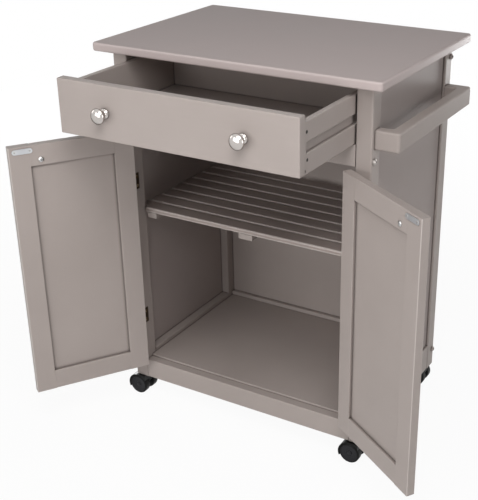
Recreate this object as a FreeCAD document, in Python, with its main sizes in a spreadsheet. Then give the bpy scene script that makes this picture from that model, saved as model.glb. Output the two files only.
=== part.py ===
import FreeCAD, Part
import math
import os
import re
from typing import NamedTuple

import Sketcher

# Driving sizes: millimetres, degrees for the turned pieces, plain counts for the repeated ones
SIZES = [
    ("overall_height", 854.0, "floor to the face of the worktop"),
    ("top_width", 660.0, "worktop, left to right"),
    ("top_depth", 452.0, "worktop, front to back"),
    ("top_thick", 18.0, "worktop thickness"),
    ("top_corner", 4.0, "worktop corner radius in plan"),
    ("top_ease", 2.5, "worktop edge radius"),
    ("frame_width", 600.0, "over the posts, left to right"),
    ("frame_depth", 392.0, "over the posts, front to back"),
    ("carcass_lift", 51.5, "floor to the foot of the posts"),
    ("post_width", 34.0, "post, left to right"),
    ("post_depth", 35.0, "post, front to back"),
    ("post_ease", 3.0, "post edge radius"),
    ("rail_thick", 20.0, "front rails, front to back"),
    ("rail_ease", 1.5, "rail edge radius"),
    ("front_rail_height", 47.0, "front bottom rail"),
    ("cross_rail_height", 44.0, "rail between drawer and doors"),
    ("rear_rail_thick", 18.0, "rear rails, front to back"),
    ("rear_top_height", 55.0, "rear top rail"),
    ("low_rail_height", 62.5, "side and rear bottom rails"),
    ("side_rail_setback", 1.0, "side rail behind the post's outer face"),
    ("panel_setback", 6.0, "side panel behind the post's outer face"),
    ("panel_thick", 8.0, "side panel"),
    ("back_setback", 5.0, "back panel behind the post's rear face"),
    ("back_thick", 4.0, "back panel"),
    ("groove_depth", 6.0, "panel grooves in posts, rails and stiles"),
    ("groove_slack", 0.1, "play each side of a panel in its groove"),
    ("groove_end", 0.5, "room at the bottom of a panel groove"),
    ("cleat_width", 18.0, "worktop cleat, left to right"),
    ("cleat_height", 30.0, "worktop cleat"),
    ("floor_top", 103.0, "face of the floor panel"),
    ("floor_thick", 12.0, "floor panel"),
    ("floor_cleat", 20.0, "floor cleat, square section"),
    ("shelf_top", 480.0, "face of the slats"),
    ("shelf_front", 26.0, "front slat behind the posts' front face"),
    ("shelf_side", 6.0, "slat end to side panel"),
    ("shelf_rear", 1.0, "rear slat to rear post"),
    ("shelf_notch", 4.0, "front slat to front post"),
    ("slat_count", 8, "slats"),
    ("slat_gap", 5.5, "gap between slats"),
    ("slat_thick", 10.5, "slat thickness"),
    ("slat_ease", 1.2, "slat edge radius"),
    ("batten_width", 23.0, "end battens under the slats"),
    ("mid_batten_width", 34.0, "middle batten under the slats"),
    ("batten_height", 12.5, "battens"),
    ("batten_inset", 24.0, "end batten in from the slats' ends"),
    ("shelf_pin_radius", 3.0, "shelf pin"),
    ("shelf_pin_reach", 12.0, "shelf pin out of the post"),
    ("shelf_pin_depth", 10.0, "shelf pin in the post"),
    ("shelf_pin_line", 26.0, "shelf pin in from the post's outer face"),
    ("bore_slack", 0.06, "radial play of a shaft in its hole"),
    ("drawer_top_gap", 5.0, "drawer front under the worktop"),
    ("drawer_gap", 2.0, "drawer front over the cross rail"),
    ("drawer_side_gap", 1.2, "drawer front beside the posts"),
    ("drawer_front_height", 109.0, "drawer front"),
    ("drawer_front_thick", 18.0, "drawer front"),
    ("drawer_ease", 2.0, "drawer front edge radius"),
    ("drawer_slack", 3.0, "drawer side to post"),
    ("drawer_board", 12.0, "drawer sides and back"),
    ("drawer_side_height", 96.0, "drawer sides and back"),
    ("drawer_side_drop", 1.0, "drawer side below the drawer front"),
    ("drawer_depth", 370.0, "drawer, front face to back"),
    ("drawer_bottom_thick", 4.0, "drawer bottom"),
    ("drawer_bottom_rise", 8.0, "drawer bottom over the sides' lower edge"),
    ("drawer_bottom_groove", 5.0, "depth of the bottom's groove"),
    ("drawer_out", 213.7, "how far the drawer stands out at rest"),
    ("slide_rise", 38.0, "runner groove over the sides' lower edge"),
    ("slide_height", 21.0, "runner groove"),
    ("slide_depth", 6.0, "runner groove"),
    ("slide_start", 8.0, "runner groove behind the drawer front"),
    ("slide_play", 0.3, "runner to the groove's upper face"),
    ("runner_height", 19.0, "runner"),
    ("runner_thick", 8.5, "runner out of the post"),
    ("runner_setback", 28.5, "runner's front end behind the posts' front face"),
    ("runner_rear", 2.0, "runner's rear end to the rear rail"),
    ("knob_spacing", 304.6, "drawer knobs, centre to centre"),
    ("knob_radius", 15.3, "knob dome"),
    ("knob_reach", 30.0, "knob out of its face"),
    ("knob_rise", 8.5, "height of the dome over its widest ring"),
    ("knob_under", 6.5, "underside of the dome"),
    ("knob_under_radius", 8.0, "curve of the dome's underside"),
    ("knob_neck", 5.2, "neck radius"),
    ("knob_foot", 9.5, "foot radius"),
    ("knob_foot_rise", 2.0, "foot thickness"),
    ("knob_foot_flare", 4.0, "height of the flare over the foot"),
    ("knob_bore_depth", 12.0, "screw hole in the knob"),
    ("screw_radius", 2.0, "knob screw"),
    ("screw_head", 4.5, "knob screw head radius"),
    ("screw_head_rise", 2.6, "knob screw head"),
    ("screw_head_ring", 1.0, "straight part of the screw head"),
    ("screw_end", 0.8, "room at the end of the screw hole"),
    ("door_thick", 18.0, "door frame"),
    ("door_gap", 1.5, "door to rail, top and bottom"),
    ("hinge_gap", 2.0, "door to post"),
    ("meeting_gap", 2.5, "between the doors"),
    ("stile_width", 43.0, "door stiles"),
    ("door_rail_height", 45.0, "door rails"),
    ("door_panel_thick", 6.0, "door panel"),
    ("door_recess", 5.5, "panel behind the door's outer face"),
    ("door_ease", 1.5, "door edge radius"),
    ("door_knob_line", 21.75, "door knob from the lock stile"),
    ("door_knob_drop", 32.5, "door knob below the door's top"),
    ("left_open", 123.4, "left door's opening angle at rest"),
    ("right_open", 147.0, "right door's opening angle at rest"),
    ("strike_width", 42.0, "strike plate"),
    ("strike_height", 11.0, "strike plate"),
    ("strike_thick", 1.0, "strike plate"),
    ("strike_inset", 6.75, "strike plate from the free edge"),
    ("strike_drop", 5.0, "strike plate below the door's top"),
    ("catch_width", 40.0, "magnetic catch"),
    ("catch_depth", 16.0, "magnetic catch, front to back"),
    ("catch_drop", 20.0, "magnetic catch below the cross rail"),
    ("catch_flange", 18.0, "flange on the back of the cross rail"),
    ("catch_plate", 3.0, "flange thickness"),
    ("pin_offset", 5.5, "hinge pin in front of the door's face"),
    ("hinge_height", 37.0, "hinge"),
    ("hinge_top_drop", 127.0, "top hinge's middle below the door's top"),
    ("hinge_low_rise", 115.0, "low hinge's middle over the door's foot"),
    ("leaf_thick", 0.9, "hinge leaf"),
    ("leaf_width", 20.0, "hinge leaf from the pin"),
    ("knuckle_radius", 3.2, "hinge knuckle"),
    ("knuckle_middle", 12.4, "door leaf's knuckle"),
    ("knuckle_gap", 0.3, "between knuckles"),
    ("knuckle_notch", 0.5, "round the other leaf's knuckle"),
    ("pin_radius", 1.5, "hinge pin"),
    ("pin_tip", 0.6, "rounding of the pin's ends"),
    ("pin_proud", 1.0, "pin beyond the knuckles"),
    ("bar_reach", 51.0, "towel bar out of the posts"),
    ("bar_thick", 24.0, "towel bar"),
    ("arm_thick", 24.0, "towel bar arms"),
    ("bar_span", 372.0, "towel bar, over the arms"),
    ("bar_height", 39.0, "towel bar"),
    ("bar_foot", 712.0, "floor to the towel bar"),
    ("bar_corner", 7.0, "outer corner radius"),
    ("bar_inner_corner", 9.0, "inner corner radius"),
    ("bar_ease", 4.0, "edge radius"),
    ("bolt_head", 6.5, "frame bolt head radius"),
    ("bolt_rise", 6.0, "frame bolt head"),
    ("bolt_ring", 2.0, "straight part of the head"),
    ("bolt_radius", 3.0, "frame bolt shank"),
    ("bolt_length", 62.0, "frame bolt shank"),
    ("bolt_end", 2.0, "room at the end of a bolt hole"),
    ("bolt_line", 10.0, "bolt from the front or rear face"),
    ("front_bolt_rise", 34.5, "bolt over the front bottom rail's foot"),
    ("cross_bolt_rise", 13.0, "bolt over the cross rail's foot"),
    ("rear_low_bolt_rise", 43.5, "bolt over the rear bottom rail's foot"),
    ("rear_top_bolt_rise", 28.0, "bolt over the rear top rail's foot"),
    ("stem_radius", 4.0, "caster stem"),
    ("stem_depth", 26.0, "caster stem in the post"),
    ("stem_foot", 4.5, "stem's lower end over the axle"),
    ("stem_end", 1.0, "room at the ends of the stem"),
    ("collar_radius", 8.0, "stem collar"),
    ("collar_thick", 1.0, "stem collar"),
    ("swivel_gap", 0.3, "hood to collar"),
    ("wheel_radius", 23.5, "caster wheel"),
    ("wheel_width", 16.5, "caster wheel"),
    ("wheel_shoulder", 3.0, "wheel edge radius"),
    ("wheel_rim", 18.0, "radius of the dished face"),
    ("wheel_dish", 1.2, "depth of the dished face"),
    ("wheel_hub", 6.0, "hub radius"),
    ("wheel_cap", 3.0, "closed end of the hub"),
    ("wheel_gap", 0.5, "wheel to web"),
    ("axle_radius", 3.0, "caster axle"),
    ("axle_slack", 0.02, "radial play of the axle in a wheel"),
    ("axle_end", 0.3, "room at the ends of the axle"),
    ("caster_trail", 11.5, "axle behind the swivel axis"),
    ("hood_web", 13.0, "web between the wheels"),
    ("hood_clear", 0.8, "hood to tread"),
    ("hood_shell", 2.4, "hood thickness"),
    ("hood_tail", 24.0, "how far the hood runs below the axle, as an angle"),
    ("boss_radius", 8.5, "swivel boss, half length"),
    ("boss_foot", 8.0, "lower edge of the boss over the axle"),
    ("web_half", 7.0, "flat foot of the web, half length"),
    ("web_drop", 9.0, "foot of the web below the axle"),
]
NAMES = {name for name, number, note in SIZES}

# Places that several pieces share, as expressions of the sizes
HX = "(frame_width / 2)"
HY = "(frame_depth / 2)"
PX = "(frame_width / 2 - post_width)"
PY = "(frame_depth / 2 - post_depth)"
POST_TOP = "(overall_height - top_thick)"
DRAWER_FOOT = f"({POST_TOP} - drawer_top_gap - drawer_front_height)"
BOX_FOOT = f"({DRAWER_FOOT} - drawer_side_drop)"
BOX_X = f"({PX} - drawer_slack)"
CROSS_TOP = f"({DRAWER_FOOT} - drawer_gap)"
CROSS_FOOT = f"({CROSS_TOP} - cross_rail_height)"
DOOR_FOOT = "(carcass_lift + front_rail_height + door_gap)"
DOOR_TOP = f"({CROSS_FOOT} - door_gap)"
DOOR_HEIGHT = f"({DOOR_TOP} - {DOOR_FOOT})"
DOOR_WIDTH = f"({PX} - hinge_gap - meeting_gap / 2)"
PIN_X = f"({PX} - hinge_gap / 2)"
PIN_Y = f"(-{HY} - pin_offset)"
LOW_RAIL_TOP = "(carcass_lift + low_rail_height)"
REAR_TOP_FOOT = f"({POST_TOP} - rear_top_height)"
PANEL_X = f"({HX} - panel_setback - panel_thick)"
TONGUE = "(groove_depth - groove_end)"
SHELF_HALF = f"({PANEL_X} - shelf_side)"
SHELF_Y = f"(shelf_front - {HY})"
SHELF_DEPTH = f"({PY} - shelf_rear - {SHELF_Y})"
SLAT_WIDTH = f"(({SHELF_DEPTH} - (slat_count - 1) * slat_gap) / slat_count)"
SLAT_FOOT = "(shelf_top - slat_thick)"
ENDS = {"front": -1, "rear": 1}
HOOD_INNER = "(wheel_radius + hood_clear)"
HOOD_OUTER = "(wheel_radius + hood_clear + hood_shell)"
HOOD_WIDTH = "(hood_web + 2 * wheel_gap + 2 * wheel_width)"
STEM_END_Z = "(wheel_radius + stem_foot)"
KNUCKLE_LOW = "((hinge_height - knuckle_middle) / 2)"
KNUCKLE_HIGH = "((hinge_height + knuckle_middle) / 2)"

SECTION_PLANES = {"X": "YZ_Plane", "Y": "XZ_Plane", "Z": "XY_Plane"}
DIRECTIONS = {
    "X": FreeCAD.Vector(1, 0, 0),
    "Y": FreeCAD.Vector(0, 1, 0),
    "Z": FreeCAD.Vector(0, 0, 1),
}
BORE_TURNS = {
    "X": FreeCAD.Rotation(DIRECTIONS["Y"], 90),
    "Y": FreeCAD.Rotation(DIRECTIONS["X"], -90),
    "Z": FreeCAD.Rotation(),
}
WORD = re.compile(r"[A-Za-z_][A-Za-z_0-9]*")
HALF_TURN = "180"
SIDES = {"left": -1, "right": 1}

DOC = FreeCAD.newDocument("KitchenCart")
SHEET = DOC.addObject("Spreadsheet::Sheet", "Sizes")
NODES = {}


class Stance(NamedTuple):
    """How an assembly stands at rest: swung about an upright axis or drawn forward."""

    pivot_x: str = "0"
    pivot_y: str = "0"
    turn: str = "0"
    forward: str = "0"


FIXED = Stance()
DRAWN = Stance(forward="drawer_out")
SWUNG = {
    "left": Stance(f"(-{PIN_X})", PIN_Y, "(-left_open)"),
    "right": Stance(PIN_X, PIN_Y, "right_open"),
}


def fill_sheet():
    """Write each driving size into its own named cell."""
    for row, (name, number, note) in enumerate(SIZES, start=1):
        SHEET.set(f"A{row}", name)
        SHEET.set(f"B{row}", str(number))
        SHEET.setAlias(f"B{row}", name)
        SHEET.set(f"C{row}", note)
    DOC.recompute()


def bound(text):
    """Expression with every size name pointing at its cell."""
    return WORD.sub(lambda word: f"Sizes.{word[0]}" if word[0] in NAMES else word[0], text)


def number(text):
    """The number that an expression gives now."""
    return float(SHEET.evalExpression(bound(text)))


def bind(item, settings):
    """Tie an item's properties to expressions."""
    for name, text in settings.items():
        item.setExpression(name, bound(text))


def signed(sign, text):
    """Expression on the left (-1) or right (+1) side of the middle plane."""
    return f"(-{text})" if sign < 0 else text


def cap_radius(reach, rise):
    """Radius of the arc over half a chord that rises to the given height."""
    return f"(({reach} * {reach} + {rise} * {rise}) / {rise} / 2)"


def place(item, at, stance=FIXED, spin="0"):
    """Put an item's origin at a point of the closed cart, then move it to its stance at rest."""
    x, y, z = at
    across = f"({x} - {stance.pivot_x})"
    along = f"({y} - {stance.pivot_y} - {stance.forward})"
    swing = f"({stance.turn})"
    place_x = f"{stance.pivot_x} + {across} * cos{swing} - {along} * sin{swing}"
    place_y = f"{stance.pivot_y} + {across} * sin{swing} + {along} * cos{swing}"
    bind(item, {"Placement.Base.x": place_x, "Placement.Base.y": place_y, "Placement.Base.z": z})
    if stance.turn != "0" or spin != "0":
        bind(item, {"Placement.Rotation.Angle": f"{swing} + {spin}"})


def new_body(label):
    """Empty body with its label."""
    body = DOC.addObject("PartDesign::Body", label)
    body.Label = label
    return body


def origin_feature(body, role):
    """A plane or an axis of the body's own origin."""
    return next(item for item in body.Origin.OriginFeatures if item.Role == role)


def new_sketch(body, role):
    """Sketch on one of the body's origin planes."""
    sketch = body.newObject("Sketcher::SketchObject", f"{body.Name}_sketch")
    sketch.AttachmentSupport = (origin_feature(body, role), [""])
    sketch.MapMode = "FlatFace"
    return sketch


def pin_point(sketch, edge, end, step):
    """Hold an edge's end at a pair of expressions."""
    for kind, axis, text in zip(("DistanceX", "DistanceY"), (-2, -1), step):
        if text == "0":
            sketch.addConstraint(Sketcher.Constraint("PointOnObject", edge, end, axis))
        else:
            rule = Sketcher.Constraint(kind, -1, 1, edge, end, number(text))
            index = sketch.addConstraint(rule)
            bind(sketch, {f"Constraints[{index}]": text})


def add_edge(sketch, start, finish, step):
    """Add a line, or an arc when the step has a radius and a side; returns its first and last end."""
    if len(step) == 2:
        sketch.addGeometry(Part.LineSegment(start, finish), False)
        return 1, 2
    radius = number(step[2])
    side = step[3]
    chord = finish - start
    half = chord.Length / 2
    normal = FreeCAD.Vector(-chord.y, chord.x, 0).normalize()
    middle = (start + finish) / 2 + normal * side * math.sqrt(max(radius ** 2 - half ** 2, 0))
    first = math.atan2(start.y - middle.y, start.x - middle.x)
    last = math.atan2(finish.y - middle.y, finish.x - middle.x)
    circle = Part.Circle(middle, DIRECTIONS["Z"], radius)
    if side > 0:
        sketch.addGeometry(Part.ArcOfCircle(circle, first, last), False)
        return 1, 2
    sketch.addGeometry(Part.ArcOfCircle(circle, last, first), False)
    return 2, 1


def draw(body, role, path):
    """Closed outline; each step gives the point where an edge ends, and for an arc its radius and side."""
    sketch = new_sketch(body, role)
    points = [FreeCAD.Vector(number(step[0]), number(step[1]), 0) for step in path]
    ends = [add_edge(sketch, points[i - 1], points[i], step) for i, step in enumerate(path)]
    for index, step in enumerate(path):
        after = (index + 1) % len(path)
        joint = Sketcher.Constraint("Coincident", index, ends[index][1], after, ends[after][0])
        sketch.addConstraint(joint)
        pin_point(sketch, index, ends[index][1], step)
        if len(step) > 2:
            rule = sketch.addConstraint(Sketcher.Constraint("Radius", index, number(step[2])))
            bind(sketch, {f"Constraints[{rule}]": step[2]})
    return sketch


def rectangle(width, height):
    """Path of a rectangle with one corner at the origin."""
    return [("0", "0"), (width, "0"), (width, height), ("0", height)]


def pad(body, sketch, along, length):
    """Extrude a section along one of the axes."""
    feature = body.newObject("PartDesign::Pad", f"{body.Name}_pad")
    feature.Profile = sketch
    feature.Reversed = along == "Y"
    bind(feature, {"Length": length})
    body.Tip = feature
    DOC.recompute()
    return feature


def ease(body, radius, chosen):
    """Round the edges of the body's last feature that a test picks."""
    base = body.Tip
    names = [f"Edge{i}" for i, edge in enumerate(base.Shape.Edges, start=1) if chosen(edge)]
    feature = body.newObject("PartDesign::Fillet", f"{body.Name}_ease")
    feature.Base = (base, names)
    bind(feature, {"Radius": radius})
    body.Tip = feature
    DOC.recompute()


def runs(axis):
    """Test for straight edges along an axis."""
    direction = DIRECTIONS[axis]

    def chosen(edge):
        straight = isinstance(edge.Curve, Part.Line)
        return straight and abs(edge.Curve.Direction.dot(direction)) > math.cos(math.radians(1))

    return chosen


def cut(body, feature, at, settings):
    """Take a primitive out of the body, and stop if it takes nothing."""
    before = body.Shape.Volume
    bind(feature, settings)
    place(feature, at)
    body.Tip = feature
    DOC.recompute()
    if body.Shape.Volume >= before:
        raise RuntimeError(f"{feature.Name} cuts nothing")


def bore(body, along, radius, depth, at):
    """Round hole that starts at a point of the body's own frame and runs along an axis."""
    feature = body.newObject("PartDesign::SubtractiveCylinder", f"{body.Name}_bore")
    feature.Placement = FreeCAD.Placement(FreeCAD.Vector(), BORE_TURNS[along])
    cut(body, feature, at, {"Radius": radius, "Height": depth})


def plough(body, size, at):
    """Square groove, its lowest corner at a point of the body's own frame."""
    feature = body.newObject("PartDesign::SubtractiveBox", f"{body.Name}_groove")
    cut(body, feature, at, dict(zip(("Length", "Width", "Height"), size)))


def board(label, along, section, length, at, radius=None, stance=FIXED):
    """Straight piece of rectangular section, its lowest corner at a point, its long edges eased."""
    body = new_body(label)
    pad(body, draw(body, SECTION_PLANES[along], rectangle(*section)), along, length)
    if radius:
        ease(body, radius, runs(along))
    place(body, at, stance)
    return body


def turned(label, role, axis, path, at, stance=FIXED, spin="0"):
    """Solid of revolution of an outline about one of its sketch's axes."""
    body = new_body(label)
    sketch = draw(body, role, path)
    feature = body.newObject("PartDesign::Revolution", f"{label}_turn")
    feature.Profile = sketch
    feature.ReferenceAxis = (sketch, [axis])
    body.Tip = feature
    place(body, at, stance, spin)
    DOC.recompute()
    return body


def rod(label, along, radius, length, at, stance=FIXED):
    """Round bar that starts at a point and runs along an axis."""
    body = new_body(label)
    sketch = new_sketch(body, SECTION_PLANES[along])
    sketch.addGeometry(Part.Circle(FreeCAD.Vector(), DIRECTIONS["Z"], number(radius)), False)
    sketch.addConstraint(Sketcher.Constraint("Coincident", 0, 3, -1, 1))
    rule = sketch.addConstraint(Sketcher.Constraint("Radius", 0, number(radius)))
    bind(sketch, {f"Constraints[{rule}]": radius})
    pad(body, sketch, along, length)
    place(body, at, stance)
    return body


def row(body, along, length, count):
    """Repeat the body's last feature in a straight row."""
    pattern = body.newObject("PartDesign::LinearPattern", f"{body.Name}_row")
    pattern.Originals = [body.Tip]
    pattern.Direction = (origin_feature(body, f"{along}_Axis"), [""])
    bind(pattern, {"Length": length, "Occurrences": count})
    body.Tip = pattern
    DOC.recompute()


def keep(label, item):
    """Name an item as one of the part's nodes."""
    item.Label = label
    NODES[label] = item


def group(label, members):
    """One node made of several solids."""
    item = DOC.addObject("Part::Compound", label)
    item.Links = members
    keep(label, item)


def pair(label, build):
    """Node of two solids, built once for each side."""
    group(label, [build(f"{label}_{side}", sign) for side, sign in SIDES.items()])


def side_x(sign, inner, width):
    """Lowest x of a piece whose inner face stands at a distance from the middle plane."""
    return inner if sign > 0 else f"(-{inner} - {width})"


def build_worktop():
    """Board with eased corners and edges."""
    at = ("-top_width / 2", "-top_depth / 2", POST_TOP)
    body = board("worktop", "Z", ("top_width", "top_depth"), "top_thick", at, "top_corner")
    ease(body, "top_ease", lambda edge: edge.BoundBox.ZLength < Part.Precision.confusion())
    keep("worktop", body)


def build_posts():
    """Four posts with panel grooves, bolt holes, shelf pin holes and caster sockets."""
    groove = "(panel_thick + 2 * groove_slack)"
    back_groove = "(back_thick + 2 * groove_slack)"
    height = f"({POST_TOP} - carcass_lift)"
    hole = "(bolt_radius + bore_slack)"
    bolts = {
        "front": ("front_bolt_rise", f"({CROSS_FOOT} + cross_bolt_rise - carcass_lift)"),
        "rear": ("rear_low_bolt_rise", f"({REAR_TOP_FOOT} + rear_top_bolt_rise - carcass_lift)"),
    }
    for end, lengthwise in ENDS.items():
        for side, sign in SIDES.items():
            label = f"post_{end}_{side}"
            low_y = PY if lengthwise > 0 else f"(-{HY})"
            at = (side_x(sign, PX, "post_width"), low_y, "carcass_lift")
            body = board(label, "Z", ("post_width", "post_depth"), height, at, "post_ease")
            groove_x = "panel_setback - groove_slack"
            if sign > 0:
                groove_x = "post_width - panel_setback - panel_thick - groove_slack"
            face_y = "0" if lengthwise > 0 else "post_depth - groove_depth"
            plough(body, (groove, "groove_depth", height), (groove_x, face_y, "0"))
            if lengthwise > 0:
                inner_x = "post_width - groove_depth" if sign < 0 else "0"
                back_y = "post_depth - back_setback - back_thick - groove_slack"
                plough(body, ("groove_depth", back_groove, height), (inner_x, back_y, "0"))
            bolt_y = "post_depth - bolt_line" if lengthwise > 0 else "bolt_line"
            for rise in bolts[end]:
                bore(body, "X", hole, "post_width", ("0", bolt_y, rise))
            pin_x = "shelf_pin_line" if sign < 0 else "post_width - shelf_pin_line"
            pin_y = "0" if lengthwise > 0 else "post_depth - shelf_pin_depth"
            pin_z = f"{SLAT_FOOT} - shelf_pin_radius - carcass_lift"
            bore(body, "Y", "shelf_pin_radius + bore_slack", "shelf_pin_depth", (pin_x, pin_y, pin_z))
            socket = ("post_width / 2", "post_depth / 2", "0")
            bore(body, "Z", "stem_radius + bore_slack", "stem_depth + stem_end", socket)
            keep(label, body)


def cross_piece(label, thick, height, y, z, bolt_rise, bolt_y):
    """Rail between two posts with a bolt hole in each end."""
    length = f"(2 * {PX})"
    body = board(label, "X", (thick, height), length, (f"-{PX}", y, z), "rail_ease")
    depth = "(bolt_length - post_width + bolt_end)"
    for start in ("0", f"{length} - {depth}"):
        bore(body, "X", "bolt_radius + bore_slack", depth, (start, bolt_y, bolt_rise))
    keep(label, body)
    return body


def build_rails():
    """Front, rear and side rails of the frame, grooved for the panels."""
    length = f"(2 * {PX})"
    front_y = f"-{HY}"
    rear_y = f"{HY} - rear_rail_thick"
    rear_bolt = "rear_rail_thick - bolt_line"
    back_groove = "back_thick + 2 * groove_slack"
    back_y = "rear_rail_thick - back_setback - back_thick - groove_slack"
    cross_piece("front_bottom_rail", "rail_thick", "front_rail_height", front_y, "carcass_lift",
                "front_bolt_rise", "bolt_line")
    cross_piece("drawer_cross_rail", "rail_thick", "cross_rail_height", front_y, CROSS_FOOT,
                "cross_bolt_rise", "bolt_line")
    low = cross_piece("rear_bottom_rail", "rear_rail_thick", "low_rail_height", rear_y, "carcass_lift",
                      "rear_low_bolt_rise", rear_bolt)
    plough(low, (length, back_groove, "groove_depth"), ("0", back_y, "low_rail_height - groove_depth"))
    top = cross_piece("rear_top_rail", "rear_rail_thick", "rear_top_height", rear_y, REAR_TOP_FOOT,
                      "rear_top_bolt_rise", rear_bolt)
    plough(top, (length, back_groove, "groove_depth"), ("0", back_y, "0"))
    pair("side_bottom_rails", build_side_rail)


def build_side_rail(label, sign):
    """Side bottom rail with the side panel's groove along its top."""
    wide = "(post_width - side_rail_setback)"
    at = (side_x(sign, PX, wide), f"-{PY}", "carcass_lift")
    body = board(label, "Y", (wide, "low_rail_height"), f"2 * {PY}", at, "rail_ease")
    groove = "(panel_thick + 2 * groove_slack)"
    outer = "(panel_setback - side_rail_setback - groove_slack)"
    groove_x = outer if sign < 0 else f"{wide} - {outer} - {groove}"
    plough(body, (groove, f"2 * {PY}", "groove_depth"), (groove_x, "0", "low_rail_height - groove_depth"))
    return body


def build_panels():
    """Side panels and back panel, let into the grooves of posts and rails."""
    foot = f"({LOW_RAIL_TOP} - {TONGUE})"
    reach = f"({PY} + {TONGUE})"
    for side, sign in SIDES.items():
        label = f"side_panel_{side}"
        at = (side_x(sign, PANEL_X, "panel_thick"), f"-{reach}", foot)
        body = board(label, "Z", ("panel_thick", f"2 * {reach}"), f"{POST_TOP} - {foot}", at)
        keep(label, body)
    half = f"({PX} + {TONGUE})"
    top = f"({REAR_TOP_FOOT} + {TONGUE})"
    at = (f"-{half}", f"{HY} - back_setback - back_thick", foot)
    keep("back_panel", board("back_panel", "Z", (f"2 * {half}", "back_thick"), f"{top} - {foot}", at))


def build_inner_strips():
    """Worktop cleats, drawer runners and floor cleats."""
    runner_y = f"(runner_setback - {HY})"
    runner_length = f"{HY} - rear_rail_thick - runner_rear - {runner_y}"
    runner_z = f"{BOX_FOOT} + slide_rise + slide_height - slide_play - runner_height"
    floor_z = "floor_top - floor_thick - floor_cleat"
    strips = [
        ("top_cleats", f"({PANEL_X} - cleat_width)", ("cleat_width", "cleat_height"), f"-{PY}", f"2 * {PY}",
         f"{POST_TOP} - cleat_height"),
        ("drawer_runners", f"({PX} - runner_thick)", ("runner_thick", "runner_height"), runner_y,
         runner_length, runner_z),
        ("floor_cleats", f"({PX} - floor_cleat)", ("floor_cleat", "floor_cleat"), f"-{PY}", f"2 * {PY}",
         floor_z),
    ]
    for label, inner, section, y, length, z in strips:
        def build(name, sign):
            return board(name, "Y", section, length, (side_x(sign, inner, section[0]), y, z), "slat_ease")

        pair(label, build)


def build_floor():
    """Floor panel between the rails."""
    depth = f"{HY} - rail_thick + {HY} - rear_rail_thick"
    at = (f"-{PX}", f"rail_thick - {HY}", "floor_top - floor_thick")
    keep("floor_panel", board("floor_panel", "Z", (f"2 * {PX}", depth), "floor_thick", at))


def build_shelf():
    """Eight slats on three battens; the front slat is notched round the posts."""
    step = f"({SLAT_WIDTH} + slat_gap)"
    length = f"(2 * {SHELF_HALF})"
    slats = board("shelf_slats_row", "X", (SLAT_WIDTH, "slat_thick"), length,
                  (f"-{SHELF_HALF}", f"{SHELF_Y} + {step}", SLAT_FOOT))
    row(slats, "Y", f"{step} * (slat_count - 2)", "slat_count - 1")
    ease(slats, "slat_ease", runs("X"))
    front = board("shelf_slats_front", "X", (SLAT_WIDTH, "slat_thick"), length,
                  (f"-{SHELF_HALF}", SHELF_Y, SLAT_FOOT), "slat_ease")
    notch = f"({SHELF_HALF} - {PX} + shelf_notch)"
    notch_size = (notch, "post_depth - shelf_front + shelf_rear", "slat_thick")
    for start in ("0", f"{length} - {notch}"):
        plough(front, notch_size, (start, "0", "0"))
    group("shelf_slats", [front, slats])
    end_x = f"({SHELF_HALF} - batten_inset - batten_width)"
    places = {
        "left": (side_x(-1, end_x, "batten_width"), "batten_width"),
        "middle": ("-mid_batten_width / 2", "mid_batten_width"),
        "right": (end_x, "batten_width"),
    }
    battens = []
    for name, (x, width) in places.items():
        at = (x, SHELF_Y, f"{SLAT_FOOT} - batten_height")
        battens.append(board(f"batten_{name}", "Y", (width, "batten_height"), SHELF_DEPTH, at, "slat_ease"))
    group("shelf_battens", battens)
    pins = []
    for end, lengthwise in ENDS.items():
        for side, sign in SIDES.items():
            y = f"{PY} - shelf_pin_reach" if lengthwise > 0 else f"-{PY} - shelf_pin_depth"
            at = (signed(sign, f"({HX} - shelf_pin_line)"), y, f"{SLAT_FOOT} - shelf_pin_radius")
            length = "shelf_pin_reach + shelf_pin_depth"
            pins.append(rod(f"shelf_pin_{end}_{side}", "Y", "shelf_pin_radius", length, at))
    group("shelf_pins", pins)


def build_catch(label, sign):
    """Magnet block under the cross rail with a flange on the rail's back."""
    body = new_body(label)
    path = [
        ("0", "0"),
        ("catch_depth", "0"),
        ("catch_depth", "catch_drop"),
        ("catch_plate", "catch_drop"),
        ("catch_plate", "catch_drop + catch_flange"),
        ("0", "catch_drop + catch_flange"),
    ]
    pad(body, draw(body, "YZ_Plane", path), "X", "catch_width")
    middle = f"({PX} - hinge_gap - {DOOR_WIDTH} + strike_inset + strike_width / 2)"
    inner = f"({middle} - catch_width / 2)"
    place(body, (side_x(sign, inner, "catch_width"), f"rail_thick - {HY}", f"{CROSS_FOOT} - catch_drop"))
    return body


def build_towel_bar():
    """U of wood on the right side: two arms and the bar, with rounded corners and edges."""
    body = new_body("towel_bar")
    inner = "(bar_reach - bar_thick)"
    path = [
        ("0", "0"),
        ("bar_reach", "0"),
        ("bar_reach", "bar_span"),
        ("0", "bar_span"),
        ("0", "bar_span - arm_thick"),
        (inner, "bar_span - arm_thick"),
        (inner, "arm_thick"),
        ("0", "arm_thick"),
    ]
    pad(body, draw(body, "XY_Plane", path), "Z", "bar_height")
    reach = number("bar_reach")
    inside = number(inner)
    near = number("groove_slack")
    upright = runs("Z")

    def stands_at(distance):
        return lambda edge: upright(edge) and abs(edge.BoundBox.XMax - distance) < near

    ease(body, "bar_corner", stands_at(reach))
    ease(body, "bar_inner_corner", stands_at(inside))
    ease(body, "bar_ease", lambda edge: edge.BoundBox.ZLength < near and edge.BoundBox.XMax > near)
    place(body, (HX, "-bar_span / 2", "bar_foot"))
    keep("towel_bar", body)


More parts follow.
